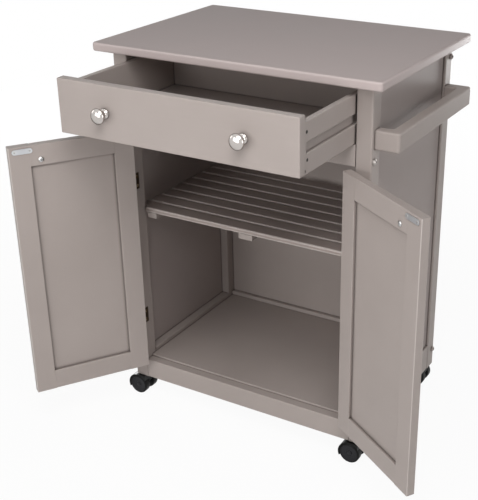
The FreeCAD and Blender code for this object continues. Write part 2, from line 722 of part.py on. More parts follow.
def build_bolts():
    """Dome-headed bolts through the posts into the rails."""
    dome = cap_radius("bolt_head", "(bolt_rise - bolt_ring)")
    path = [
        ("-bolt_length", "0"),
        ("bolt_rise", "0"),
        ("bolt_ring", "bolt_head", dome, 1),
        ("0", "bolt_head"),
        ("0", "bolt_radius"),
        ("-bolt_length", "bolt_radius"),
    ]
    rows = {
        "front": ["carcass_lift + front_bolt_rise", f"{CROSS_FOOT} + cross_bolt_rise"],
        "rear": ["carcass_lift + rear_low_bolt_rise", f"{REAR_TOP_FOOT} + rear_top_bolt_rise"],
    }
    bolts = []
    for end, heights in rows.items():
        for side, sign in SIDES.items():
            for level, height in zip(("low", "high"), heights):
                at = (signed(sign, HX), signed(ENDS[end], f"({HY} - bolt_line)"), height)
                spin = "0" if sign > 0 else HALF_TURN
                bolts.append(turned(f"bolt_{end}_{side}_{level}", "XY_Plane", "H_Axis", path, at, spin=spin))
    group("frame_bolts", bolts)


def hinge_heights():
    """Lower ends of a door's two hinges."""
    low = f"({DOOR_FOOT} + hinge_low_rise - hinge_height / 2)"
    high = f"({DOOR_TOP} - hinge_top_drop - hinge_height / 2)"
    return {"low": low, "high": high}


def build_leaf(label, plate_x, path, knuckles, at, stance=FIXED):
    """Hinge leaf: a plate beside the pin with the knuckles that belong to it."""
    body = new_body(label)
    pad(body, draw(body, "YZ_Plane", path), "X", "leaf_thick")
    for foot, height in knuckles:
        knuckle = body.newObject("PartDesign::AdditiveCylinder", f"{label}_knuckle")
        bind(knuckle, {"Radius": "knuckle_radius", "Height": height})
        place(knuckle, (f"-({plate_x})", "0", foot))
        body.Tip = knuckle
        DOC.recompute()
    bore(body, "Z", "pin_radius + bore_slack", "hinge_height", (f"-({plate_x})", "0", "0"))
    x, y, z = at
    place(body, (f"({x} + {plate_x})", y, z), stance)
    return body


def build_hinges():
    """Frame leaves and pins of the four butt hinges."""
    notch = "(knuckle_radius + knuckle_notch)"
    low = f"({KNUCKLE_LOW} - knuckle_gap)"
    high = f"({KNUCKLE_HIGH} + knuckle_gap)"
    path = [
        ("0", "0"),
        ("leaf_width", "0"),
        ("leaf_width", "hinge_height"),
        ("0", "hinge_height"),
        ("0", high),
        (notch, high),
        (notch, low),
        ("0", low),
    ]
    knuckles = [("0", low), (high, f"hinge_height - {high}")]
    leaves = []
    pins = []
    for side, sign in SIDES.items():
        for level, foot in hinge_heights().items():
            at = (signed(sign, PIN_X), PIN_Y, foot)
            plate_x = "(hinge_gap / 2 - leaf_thick)" if sign > 0 else "(-hinge_gap / 2)"
            leaves.append(build_leaf(f"frame_leaf_{side}_{level}", plate_x, path, knuckles, at))
            start = (at[0], at[1], f"{foot} - pin_proud")
            pin = rod(f"hinge_pin_{side}_{level}", "Z", "pin_radius", "hinge_height + 2 * pin_proud", start)
            ease(pin, "pin_tip", lambda edge: isinstance(edge.Curve, Part.Circle))
            pins.append(pin)
    group("hinge_frame_leaves", leaves)
    group("hinge_pins", pins)


def build_knob(label, at, thick, stance):
    """Mushroom knob and the screw that holds it from the back."""
    dome = cap_radius("knob_radius", "knob_rise")
    bore_radius = "(screw_radius + bore_slack)"
    under = "(knob_reach - knob_rise - knob_under)"
    knob_path = [
        ("0", "-knob_bore_depth"),
        (bore_radius, "-knob_bore_depth"),
        (bore_radius, "0"),
        ("knob_foot", "0"),
        ("knob_foot", "-knob_foot_rise"),
        ("knob_neck", "-knob_foot_rise - knob_foot_flare"),
        ("knob_neck", f"-{under}"),
        ("knob_radius", "knob_rise - knob_reach", "knob_under_radius", -1),
        ("0", "-knob_reach", dome, -1),
    ]
    cap = cap_radius("screw_head", "(screw_head_rise - screw_head_ring)")
    tip = "(screw_end - knob_bore_depth)"
    screw_path = [
        ("0", tip),
        ("screw_radius", tip),
        ("screw_radius", thick),
        ("screw_head", thick),
        ("screw_head", f"{thick} + screw_head_ring"),
        ("0", f"{thick} + screw_head_rise", cap, 1),
    ]
    knob = turned(f"{label}_dome", "XY_Plane", "V_Axis", knob_path, at, stance)
    screw = turned(f"{label}_screw", "XY_Plane", "V_Axis", screw_path, at, stance)
    return [knob, screw]


def build_door(side, sign):
    """Framed door: stiles, rails, panel, knob, strike plate and its hinge leaves."""
    stance = SWUNG[side]
    hinge_x = signed(sign, f"({PX} - hinge_gap)")
    face_y = f"(-{HY})"
    groove = "(door_panel_thick + 2 * groove_slack)"
    groove_y = "door_recess - groove_slack"
    inner_width = f"({DOOR_WIDTH} - 2 * stile_width)"

    def place_x(offset, width):
        return f"({hinge_x} + {offset})" if sign < 0 else f"({hinge_x} - {offset} - {width})"

    stiles = {"hinge_stile": ("0", 1), "lock_stile": (f"({DOOR_WIDTH} - stile_width)", -1)}
    for name, (offset, toward) in stiles.items():
        label = f"{side}_door_{name}"
        at = (place_x(offset, "stile_width"), face_y, DOOR_FOOT)
        stile = board(label, "Z", ("stile_width", "door_thick"), DOOR_HEIGHT, at, "door_ease", stance)
        groove_x = "stile_width - groove_depth" if toward * sign < 0 else "0"
        plough(stile, ("groove_depth", groove, DOOR_HEIGHT), (groove_x, groove_y, "0"))
        keep(label, stile)
    rails = {
        "top_rail": (f"({DOOR_TOP} - door_rail_height)", "0"),
        "bottom_rail": (DOOR_FOOT, "door_rail_height - groove_depth"),
    }
    knob_x = place_x(f"({DOOR_WIDTH} - stile_width - door_knob_line)", "0")
    knob_z = f"({DOOR_TOP} - door_knob_drop)"
    for name, (foot, groove_z) in rails.items():
        label = f"{side}_door_{name}"
        rail_x = place_x("stile_width", inner_width)
        rail = board(label, "X", ("door_thick", "door_rail_height"), inner_width, (rail_x, face_y, foot),
                     "door_ease", stance)
        plough(rail, (inner_width, groove, "groove_depth"), ("0", groove_y, groove_z))
        if name == "top_rail":
            hole_at = (f"{knob_x} - {rail_x}", "0", f"{knob_z} - {foot}")
            bore(rail, "Y", "screw_radius + bore_slack", "door_thick", hole_at)
        keep(label, rail)
    panel_width = f"({inner_width} + 2 * {TONGUE})"
    panel_height = f"({DOOR_HEIGHT} - 2 * door_rail_height + 2 * {TONGUE})"
    panel_at = (place_x(f"(stile_width - {TONGUE})", panel_width), f"{face_y} + door_recess",
                f"{DOOR_FOOT} + door_rail_height - {TONGUE}")
    label = f"{side}_door_panel"
    keep(label, board(label, "Z", (panel_width, "door_panel_thick"), panel_height, panel_at, stance=stance))
    knob_at = (knob_x, face_y, knob_z)
    group(f"{side}_door_knob", build_knob(f"{side}_door_knob", knob_at, "door_thick", stance))
    strike_at = (place_x(f"({DOOR_WIDTH} - strike_inset - strike_width)", "strike_width"),
                 f"{face_y} + door_thick", f"{DOOR_TOP} - strike_drop - strike_height")
    label = f"{side}_door_strike_plate"
    plate = board(label, "Y", ("strike_width", "strike_height"), "strike_thick", strike_at, stance=stance)
    ease(plate, "strike_height / 2 - groove_slack", runs("Y"))
    keep(label, plate)
    build_door_leaves(side, sign, stance)


def build_door_leaves(side, sign, stance):
    """The door's own hinge leaves, each with the middle knuckle."""
    notch = "(knuckle_radius + knuckle_notch)"
    path = [
        (notch, "0"),
        ("leaf_width", "0"),
        ("leaf_width", "hinge_height"),
        (notch, "hinge_height"),
        (notch, KNUCKLE_HIGH),
        ("0", KNUCKLE_HIGH),
        ("0", KNUCKLE_LOW),
        (notch, KNUCKLE_LOW),
    ]
    knuckles = [(KNUCKLE_LOW, "knuckle_middle")]
    plate_x = "(-hinge_gap / 2)" if sign > 0 else "(hinge_gap / 2 - leaf_thick)"
    leaves = []
    for level, foot in hinge_heights().items():
        at = (signed(sign, PIN_X), PIN_Y, foot)
        leaves.append(build_leaf(f"{side}_leaf_{level}", plate_x, path, knuckles, at, stance))
    group(f"{side}_door_hinge_leaves", leaves)


def build_drawer():
    """Drawer box behind its front, with the runner grooves and a let-in bottom."""
    face_y = f"(-{HY})"
    half = f"({PX} - drawer_side_gap)"
    box_y = f"({face_y} + drawer_front_thick)"
    side_length = "(drawer_depth - drawer_front_thick)"
    groove = "(drawer_bottom_thick + 2 * groove_slack)"
    groove_z = "(drawer_bottom_rise - groove_slack)"
    inner = f"({BOX_X} - drawer_board)"
    front_at = (f"-{half}", face_y, DRAWER_FOOT)
    front = board("drawer_front", "Y", (f"2 * {half}", "drawer_front_height"), "drawer_front_thick", front_at,
                  stance=DRAWN)
    front_edges = number("groove_slack")
    ease(front, "drawer_ease", lambda edge: edge.BoundBox.YMax < front_edges or runs("Y")(edge))
    groove_at = (f"{half} - {inner}", "drawer_front_thick - drawer_bottom_groove",
                 f"{groove_z} - drawer_side_drop")
    plough(front, (f"2 * {inner}", "drawer_bottom_groove", groove), groove_at)
    knobs = []
    for side, sign in SIDES.items():
        knob_x = signed(sign, "(knob_spacing / 2)")
        hole_at = (f"{half} + {knob_x}", "0", "drawer_front_height / 2")
        bore(front, "Y", "screw_radius + bore_slack", "drawer_front_thick", hole_at)
        at = (knob_x, face_y, f"{DRAWER_FOOT} + drawer_front_height / 2")
        knobs.extend(build_knob(f"drawer_knob_{side}", at, "drawer_front_thick", DRAWN))
    keep("drawer_front", front)
    group("drawer_knobs", knobs)
    for side, sign in SIDES.items():
        label = f"drawer_side_{side}"
        at = (side_x(sign, inner, "drawer_board"), box_y, BOX_FOOT)
        section = ("drawer_board", "drawer_side_height")
        board_side = board(label, "Y", section, side_length, at, "slat_ease", DRAWN)
        slot_x = "0" if sign < 0 else "drawer_board - slide_depth"
        plough(board_side, ("slide_depth", f"{side_length} - slide_start", "slide_height"),
               (slot_x, "slide_start", "slide_rise"))
        groove_x = "drawer_board - drawer_bottom_groove" if sign < 0 else "0"
        plough(board_side, ("drawer_bottom_groove", side_length, groove), (groove_x, "0", groove_z))
        keep(label, board_side)
    back_y = f"({face_y} + drawer_depth - drawer_board)"
    back = board("drawer_back", "X", ("drawer_board", "drawer_side_height"), f"2 * {inner}",
                 (f"-{inner}", back_y, BOX_FOOT), "slat_ease", DRAWN)
    plough(back, (f"2 * {inner}", "drawer_bottom_groove", groove), ("0", "0", groove_z))
    keep("drawer_back", back)
    tongue = "(drawer_bottom_groove - groove_end)"
    bottom_half = f"({inner} + {tongue})"
    bottom_depth = f"(drawer_depth - drawer_front_thick - drawer_board + 2 * {tongue})"
    bottom_at = (f"-{inner}", f"{box_y} - {tongue}", f"{BOX_FOOT} + drawer_bottom_rise")
    bottom = new_body("drawer_bottom")
    path = [
        ("0", "0"),
        (f"2 * {inner}", "0"),
        (f"2 * {inner}", tongue),
        (f"{inner} + {bottom_half}", tongue),
        (f"{inner} + {bottom_half}", f"{bottom_depth} - {tongue}"),
        (f"2 * {inner}", f"{bottom_depth} - {tongue}"),
        (f"2 * {inner}", bottom_depth),
        ("0", bottom_depth),
        ("0", f"{bottom_depth} - {tongue}"),
        (f"-{tongue}", f"{bottom_depth} - {tongue}"),
        (f"-{tongue}", tongue),
        ("0", tongue),
    ]
    pad(bottom, draw(bottom, "XY_Plane", path), "Z", "drawer_bottom_thick")
    place(bottom, bottom_at, DRAWN)
    keep("drawer_bottom", bottom)


def build_caster(label, x, y):
    """Hooded twin-wheel caster; the axle trails to the left of the swivel axis at rest."""
    axle_z = "wheel_radius"
    axle_x = f"({x} - caster_trail)"
    low_y = f"({y} - {HOOD_WIDTH} / 2)"
    web_y = f"(({HOOD_WIDTH} - hood_web) / 2)"
    build_hood(label, (f"{axle_x} - {HOOD_OUTER}", low_y, "0"), web_y)
    axle_half = "(hood_web / 2 + wheel_gap + wheel_width - wheel_cap - axle_end)"
    axle_at = (axle_x, f"{y} - {axle_half}", axle_z)
    keep(f"{label}_axle", rod(f"{label}_axle", "Y", "axle_radius", f"2 * {axle_half}", axle_at))
    hole = "(axle_radius + axle_slack)"
    path = [
        ("0", "wheel_width - wheel_cap"),
        (hole, "wheel_width - wheel_cap"),
        (hole, "0"),
        ("wheel_radius - wheel_shoulder", "0"),
        ("wheel_radius", "wheel_shoulder", "wheel_shoulder", 1),
        ("wheel_radius", "wheel_width - wheel_shoulder"),
        ("wheel_radius - wheel_shoulder", "wheel_width", "wheel_shoulder", 1),
        ("wheel_rim", "wheel_width"),
        ("wheel_rim - wheel_dish", "wheel_width - wheel_dish"),
        ("wheel_hub + wheel_dish", "wheel_width - wheel_dish"),
        ("wheel_hub", "wheel_width"),
        ("0", "wheel_width"),
    ]
    offset = "(hood_web / 2 + wheel_gap)"
    near = turned(f"{label}_wheel_near", "XY_Plane", "V_Axis", path, (axle_x, f"{y} - {offset}", axle_z),
                  spin=HALF_TURN)
    far = turned(f"{label}_wheel_far", "XY_Plane", "V_Axis", path, (axle_x, f"{y} + {offset}", axle_z))
    group(f"{label}_wheels", [near, far])


def build_hood(label, at, web_y):
    """Side profile of the hood and swivel boss, hollowed on both sides for the wheels."""
    body = new_body(f"{label}_hood")
    stem_x = f"({HOOD_OUTER} + caster_trail)"
    boss_left = f"({stem_x} - boss_radius)"
    boss_right = f"({stem_x} + boss_radius)"
    boss_top = "(carcass_lift - collar_thick - swivel_gap)"
    path = [
        (f"{HOOD_OUTER} - {HOOD_OUTER} * cos(hood_tail)", f"wheel_radius - {HOOD_OUTER} * sin(hood_tail)"),
        (HOOD_OUTER, f"wheel_radius + {HOOD_OUTER}", HOOD_OUTER, -1),
        (boss_left, boss_top),
        (boss_right, boss_top),
        (boss_right, "wheel_radius + boss_foot"),
        (f"{HOOD_OUTER} + web_half", "wheel_radius - web_drop"),
        (f"{HOOD_OUTER} - web_half", "wheel_radius - web_drop"),
        (f"{HOOD_OUTER} - {HOOD_INNER} * cos(hood_tail)", f"wheel_radius - {HOOD_INNER} * sin(hood_tail)"),
    ]
    pad(body, draw(body, "XZ_Plane", path), "Y", HOOD_WIDTH)
    for start in ("0", f"{HOOD_WIDTH} - {web_y}"):
        bore(body, "Y", HOOD_INNER, web_y, (HOOD_OUTER, start, "wheel_radius"))
    bore(body, "Y", "axle_radius + bore_slack", HOOD_WIDTH, (HOOD_OUTER, "0", "wheel_radius"))
    socket_foot = f"({STEM_END_Z} - stem_end)"
    socket_at = (stem_x, f"{HOOD_WIDTH} / 2", socket_foot)
    bore(body, "Z", "stem_radius + bore_slack", f"{boss_top} - {socket_foot}", socket_at)
    place(body, at)
    keep(f"{label}_hood", body)


def build_casters():
    """Four casters and the stems that hold them in the posts."""
    path = [
        ("0", STEM_END_Z),
        ("stem_radius", STEM_END_Z),
        ("stem_radius", "carcass_lift - collar_thick"),
        ("collar_radius", "carcass_lift - collar_thick"),
        ("collar_radius", "carcass_lift"),
        ("stem_radius", "carcass_lift"),
        ("stem_radius", "carcass_lift + stem_depth"),
        ("0", "carcass_lift + stem_depth"),
    ]
    stems = []
    for end, lengthwise in ENDS.items():
        for side, sign in SIDES.items():
            label = f"caster_{end}_{side}"
            x = signed(sign, f"({HX} - post_width / 2)")
            y = signed(lengthwise, f"({HY} - post_depth / 2)")
            build_caster(label, x, y)
            stems.append(turned(f"{label}_stem", "XZ_Plane", "V_Axis", path, (x, y, "0")))
    group("caster_stems", stems)


def write_parts():
    """Check every object, then write one file for each node."""
    DOC.recompute()
    faults = [item.Name for item in DOC.Objects if {"Invalid", "Error"} & set(item.State)]
    if faults:
        raise RuntimeError(f"objects with errors: {faults}")
    os.makedirs("parts", exist_ok=True)
    for label, item in NODES.items():
        if item.Shape.isNull() or not item.Shape.isValid():
            raise RuntimeError(f"bad shape: {label}")
        item.Shape.exportStep(f"parts/{label}.step")


def main():
    """Build the cart from the floor up and write its nodes."""
    fill_sheet()
    build_worktop()
    build_posts()
    build_rails()
    build_panels()
    build_inner_strips()
    build_floor()
    build_shelf()
    pair("magnetic_catches", build_catch)
    build_towel_bar()
    build_bolts()
    build_hinges()
    for side, sign in SIDES.items():
        build_door(side, sign)
    build_drawer()
    build_casters()
    write_parts()


main()
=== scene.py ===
import logging
import math
from dataclasses import dataclass, replace
from enum import Enum

import bmesh
import bpy
import numpy as np
from mathutils import Matrix, Vector


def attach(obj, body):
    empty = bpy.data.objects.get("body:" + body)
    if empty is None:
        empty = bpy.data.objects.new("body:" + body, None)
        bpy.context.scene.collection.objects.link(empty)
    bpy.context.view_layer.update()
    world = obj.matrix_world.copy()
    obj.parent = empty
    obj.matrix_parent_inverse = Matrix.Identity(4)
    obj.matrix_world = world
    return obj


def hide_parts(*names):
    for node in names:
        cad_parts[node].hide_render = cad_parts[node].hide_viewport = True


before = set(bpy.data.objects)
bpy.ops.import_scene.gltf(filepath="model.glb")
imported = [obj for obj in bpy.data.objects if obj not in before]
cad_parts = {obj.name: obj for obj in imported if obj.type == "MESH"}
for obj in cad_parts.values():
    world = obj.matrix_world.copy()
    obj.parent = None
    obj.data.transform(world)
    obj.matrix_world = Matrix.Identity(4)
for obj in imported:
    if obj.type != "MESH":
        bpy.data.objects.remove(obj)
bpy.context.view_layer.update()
LOG = logging.getLogger("kitchen_cart")
IMAGE_WIDTH = 478
IMAGE_HEIGHT = 500
MM = 0.001
QUARTER_TURN = math.pi / 2
MERGE_REACH = 1e-7
SHARP_EDGE = math.radians(38.0)
# Mask of painted shade in recesses, painted highlights along edges, and wheel treads.
TREAD_AND_PAINTED_LIGHT = "accent"
WHITE = (1.0, 1.0, 1.0, 1.0)
TO_FRONT = (0.0, -1.0, 0.0)
TO_BACK = (0.0, 1.0, 0.0)
Place = tuple[float, float, float]
Colour = tuple[float, float, float]
Span = tuple[float, float]
Socket = bpy.types.NodeSocket
Tree = bpy.types.NodeTree


class Grain(Enum):
    """How much a board's pattern is stretched along x, y and z."""

    NONE = (1.0, 1.0, 1.0)
    ALONG_X = (0.05, 1.0, 1.0)
    ALONG_Y = (1.0, 0.05, 1.0)
    UPRIGHT = (1.0, 1.0, 0.05)

    @property
    def axis(self) -> Place:
        """Unit vector along the grain, or zero where there is none."""
        return tuple(float(stretch < 1.0) for stretch in self.value)


class Noise(Enum):
    """Noise patterns: how fine they are, and their layers of detail."""

    MOTTLING = (6.0, 3.0)
    ORANGE_PEEL = (520.0, 1.0)
    GRAIN_STREAKS = (240.0, 4.0)
    POLISHING_LINES = (240.0, 3.0)
    CLOUDING = (60.0, 2.0)
    SPARK_GRAIN = (1400.0, 2.0)
    FLOW_MARKS = (45.0, 2.0)


class Effect(Enum):
    """Pattern of a finish, with the name of its shader group."""

    PAINT_FILM = "paint_film"
    BRUSHED = "brushed_metal"
    MOULDED = "moulded_plastic"


class Slot(Enum):
    """Material slots of the record."""

    PAINTED_WOOD = "painted_wood"
    SATIN_NICKEL = "satin_nickel"
    ZINC_PLATE = "zinc_plate"
    HINGE_BRASS = "hinge_brass"
    BLACK_PLASTIC = "black_plastic"
    WHEEL_PLASTIC = "wheel_plastic"


class Drive(Enum):
    """Shape of the recess in a fastener's head."""

    CROSS = "cross"
    HEXAGON = "hexagon"


class Way(Enum):
    """A direction across the cart, with the sign of its axis."""

    @property
    def word(self) -> str:
        """Name of the direction in lower case."""
        return self.name.lower()


class Side(Way):
    """The cart's two sides, along x."""

    LEFT = -1
    RIGHT = 1


class End(Way):
    """The cart's two ends, along y."""

    FRONT = -1
    REAR = 1


class NodeGraph:
    """A node tree with short calls for adding and joining nodes."""

    # Sockets of a Mix node that mixes colours.
    MIX_FACTOR, MIX_A, MIX_B, MIX_RESULT = 0, 6, 7, 2

    def __init__(self, tree: Tree) -> None:
        """Keep the tree and clear it."""
        self.tree = tree
        self.tree.nodes.clear()

    def add(self, kind: str, inputs: dict[str | int, object] | None = None,
            **settings: object) -> bpy.types.Node:
        """Add a node and fill it.

        Args:
            kind: the node's type, without the ShaderNode in front.
            inputs: values or sockets for its inputs, by name or number.
            settings: the node's own properties.

        Returns:
            The new node.
        """
        node = self.tree.nodes.new(f"ShaderNode{kind}")
        for name, value in settings.items():
            setattr(node, name, value)
        for key, value in (inputs or {}).items():
            self.feed(node.inputs[key], value)
        return node

    def feed(self, socket: Socket, value: object) -> None:
        """Link a socket to another one, or set its value.

        Args:
            socket: the input socket.
            value: an output socket or a plain value.
        """
        if isinstance(value, bpy.types.NodeSocket):
            self.tree.links.new(value, socket)
        else:
            socket.default_value = value

    def math(self, operation: str, first: object, second: object) -> Socket:
        """Result of a sum, product or other operation on two values or sockets."""
        return self.add("Math", {0: first, 1: second}, operation=operation).outputs[0]

    def dot(self, first: object, second: object) -> Socket:
        """Dot product of two vectors."""
        return self.add("VectorMath", {0: first, 1: second}, operation="DOT_PRODUCT").outputs["Value"]

    def remap(self, value: Socket, source: Span, target: Span = (0.0, 1.0)) -> Socket:
        """Value carried from one range to another and held at its ends."""
        inputs = {0: value, 1: source[0], 2: source[1], 3: target[0], 4: target[1]}
        return self.add("MapRange", inputs).outputs[0]

    def noise(self, vector: Socket, noise: Noise) -> Socket:
        """Factor of a noise texture on the given coordinates."""
        scale, detail = noise.value
        return self.add("TexNoise", {"Vector": vector, "Scale": scale, "Detail": detail}).outputs["Fac"]

    def mix(self, factor: object, first: object, second: object) -> Socket:
        """Colour between two colours."""
        inputs = {self.MIX_FACTOR: factor, self.MIX_A: first, self.MIX_B: second}
        return self.add("Mix", inputs, data_type="RGBA").outputs[self.MIX_RESULT]


class EffectGroups:
    """Shader groups that several finishes share, each built once.

    Attributes:
        OUTPUTS: sockets that a pattern puts out, with their kinds.
        NOISE_MIDDLE: mean of a noise.
        MOTTLING_RANGE: part of the mottling that shows.
        MOTTLING_TONE: tone at the ends of that part.
        STREAK_TONE: how far the grain's streaks lighten the paint.
        PEEL_HEIGHT: height of the orange peel beside that of the streaks.
        LINE_STRETCH: how the polishing lines are drawn out.
        SATIN_SPREAD: change of roughness in paint and metal.
        PLASTIC_SPREAD: change of roughness in plastic.
        EDGE_COSINES: cosines of the normal's turn at which the painted edge highlight begins and is full.
        END_SQUARES: squares of the lengthwise turn at which the painted edge highlight begins to fade and is
            gone.
        OPEN_VIEW: open share of the view at which the painted shade in joints and corners begins and is full.
        SAMPLES: rays for the rounded normal and for the painted shade.
        patterns: the group of each effect.
        board_edge: the group of a board's painted edge highlights and its painted shade in joints and
            corners.
    """

    OUTPUTS = {"Tone": "Float", "Roughness": "Float", "Height": "Float"}
    NOISE_MIDDLE = 0.5
    MOTTLING_RANGE = (0.3, 0.7)
    MOTTLING_TONE = (0.0, 0.7)
    STREAK_TONE = 0.6
    PEEL_HEIGHT = 0.35
    LINE_STRETCH = (1.0, 1.0, 14.0)
    SATIN_SPREAD = 0.16
    PLASTIC_SPREAD = 0.2
    EDGE_COSINES = (1.0, 0.75)
    END_SQUARES = (0.0, 0.04)
    OPEN_VIEW = (0.95, 0.4)
    SAMPLES = 8

    def __init__(self) -> None:
        """Build every group."""
        self.patterns = {
            Effect.PAINT_FILM: self._paint_film(),
            Effect.BRUSHED: self._brushed(),
            Effect.MOULDED: self._moulded(),
        }
        self.board_edge = self._board_edge()

    def _open(self, name: str, inputs: dict[str, str],
              outputs: dict[str, str] | None = None) -> tuple[NodeGraph, bpy.types.NodeOutputs]:
        """Start a group with its sockets.

        Args:
            name: name of the group.
            inputs: kind of each input socket, by name.
            outputs: kind of each output socket, by name, where they aren't the usual three.

        Returns:
            The graph, and the sockets that bring its inputs in.
        """
        tree = bpy.data.node_groups.new(name, "ShaderNodeTree")
        for label, kind in inputs.items():
            tree.interface.new_socket(label, in_out="INPUT", socket_type=f"NodeSocket{kind}")
        for label, kind in (outputs or self.OUTPUTS).items():
            tree.interface.new_socket(label, in_out="OUTPUT", socket_type=f"NodeSocket{kind}")
        graph = NodeGraph(tree)
        return graph, tree.nodes.new("NodeGroupInput").outputs

    @staticmethod
    def _close(graph: NodeGraph, *results: Socket) -> Tree:
        """Join the results to the group's output node.

        Args:
            graph: the group's nodes.
            results: the results, in the order of the outputs.

        Returns:
            The finished group.
        """
        out = graph.tree.nodes.new("NodeGroupOutput")
        for socket, result in zip(out.inputs, results):
            graph.tree.links.new(result, socket)
        return graph.tree

    def _shine(self, graph: NodeGraph, gloss: Socket, cloud: Socket, spread: float) -> Socket:
        """Mean roughness moved up and down by a cloud of the given spread."""
        swing = graph.math("MULTIPLY", graph.math("SUBTRACT", cloud, self.NOISE_MIDDLE), spread)
        return graph.math("ADD", gloss, swing)

    def _paint_film(self) -> Tree:
        """Sprayed paint: broad mottling, fine orange peel, and the board's grain showing through.

        Returns:
            The finished group.
        """
        inputs = {"Vector": "Vector", "Grain Vector": "Vector", "Grain": "Float", "Gloss": "Float"}
        graph, given = self._open(Effect.PAINT_FILM.value, inputs)
        broad = graph.noise(given["Vector"], Noise.MOTTLING)
        peel = graph.noise(given["Vector"], Noise.ORANGE_PEEL)
        streak = graph.noise(given["Grain Vector"], Noise.GRAIN_STREAKS)
        ribbed = graph.math("MULTIPLY", streak, given["Grain"])
        tone = graph.remap(broad, self.MOTTLING_RANGE, self.MOTTLING_TONE)
        tone = graph.math("ADD", tone, graph.math("MULTIPLY", ribbed, self.STREAK_TONE))
        height = graph.math("ADD", graph.math("MULTIPLY", peel, self.PEEL_HEIGHT), ribbed)
        return self._close(graph, tone, self._shine(graph, given["Gloss"], broad, self.SATIN_SPREAD), height)

    def _brushed(self) -> Tree:
        """Metal with fine polishing lines and a slight change of shine.

        Returns:
            The finished group.
        """
        graph, given = self._open(Effect.BRUSHED.value, {"Vector": "Vector", "Gloss": "Float"})
        stretched = graph.add("Mapping", {"Vector": given["Vector"], "Scale": self.LINE_STRETCH})
        lines = graph.noise(stretched.outputs[0], Noise.POLISHING_LINES)
        cloud = graph.noise(given["Vector"], Noise.CLOUDING)
        return self._close(graph, cloud, self._shine(graph, given["Gloss"], cloud, self.SATIN_SPREAD), lines)

    def _moulded(self) -> Tree:
        """Moulded plastic: fine spark grain and faint flow marks.

        Returns:
            The finished group.
        """
        graph, given = self._open(Effect.MOULDED.value, {"Vector": "Vector", "Gloss": "Float"})
        grain = graph.noise(given["Vector"], Noise.SPARK_GRAIN)
        flow = graph.noise(given["Vector"], Noise.FLOW_MARKS)
        return self._close(graph, flow, self._shine(graph, given["Gloss"], flow, self.PLASTIC_SPREAD), grain)

    def _board_edge(self) -> Tree:
        """Painted highlights on a board's eased edges, and painted shade in its joints and corners.

        The highlight mask is how far the normal, rounded within the ease, turns from the flat one, less where
        it turns along the board, as at its ends. The shade mask is how much of the view from a point is
        shut off within the shade's reach, as ambient occlusion.

        Returns:
            The finished group.
        """
        inputs = {"Ease": "Float", "Gap": "Float", "Along": "Vector"}
        outputs = {"Edge": "Float", "Joint": "Float", "Normal": "Vector"}
        graph, given = self._open("board_edge", inputs, outputs)
        # Painted highlight: the edge mask lightens a board where the rounded normal turns, standing for light
        # caught on its eased edges.
        rounded = graph.add("Bevel", {"Radius": given["Ease"]}, samples=self.SAMPLES).outputs[0]
        flat = graph.add("NewGeometry").outputs["Normal"]
        turned_away = graph.remap(graph.dot(rounded, flat), self.EDGE_COSINES)
        own = graph.add("VectorTransform", {0: rounded}, vector_type="NORMAL",
                        convert_from="WORLD", convert_to="OBJECT").outputs[0]
        lengthwise = graph.dot(own, given["Along"])
        beside = graph.remap(graph.math("MULTIPLY", lengthwise, lengthwise), self.END_SQUARES, (1.0, 0.0))
        edge = graph.math("MULTIPLY", turned_away, beside)
        # Painted shade: ambient occlusion within the reach darkens joints, corners and recesses.
        view = graph.add("AmbientOcclusion", {"Distance": given["Gap"]}, samples=self.SAMPLES).outputs["AO"]
        return self._close(graph, edge, graph.remap(view, self.OPEN_VIEW), rounded)


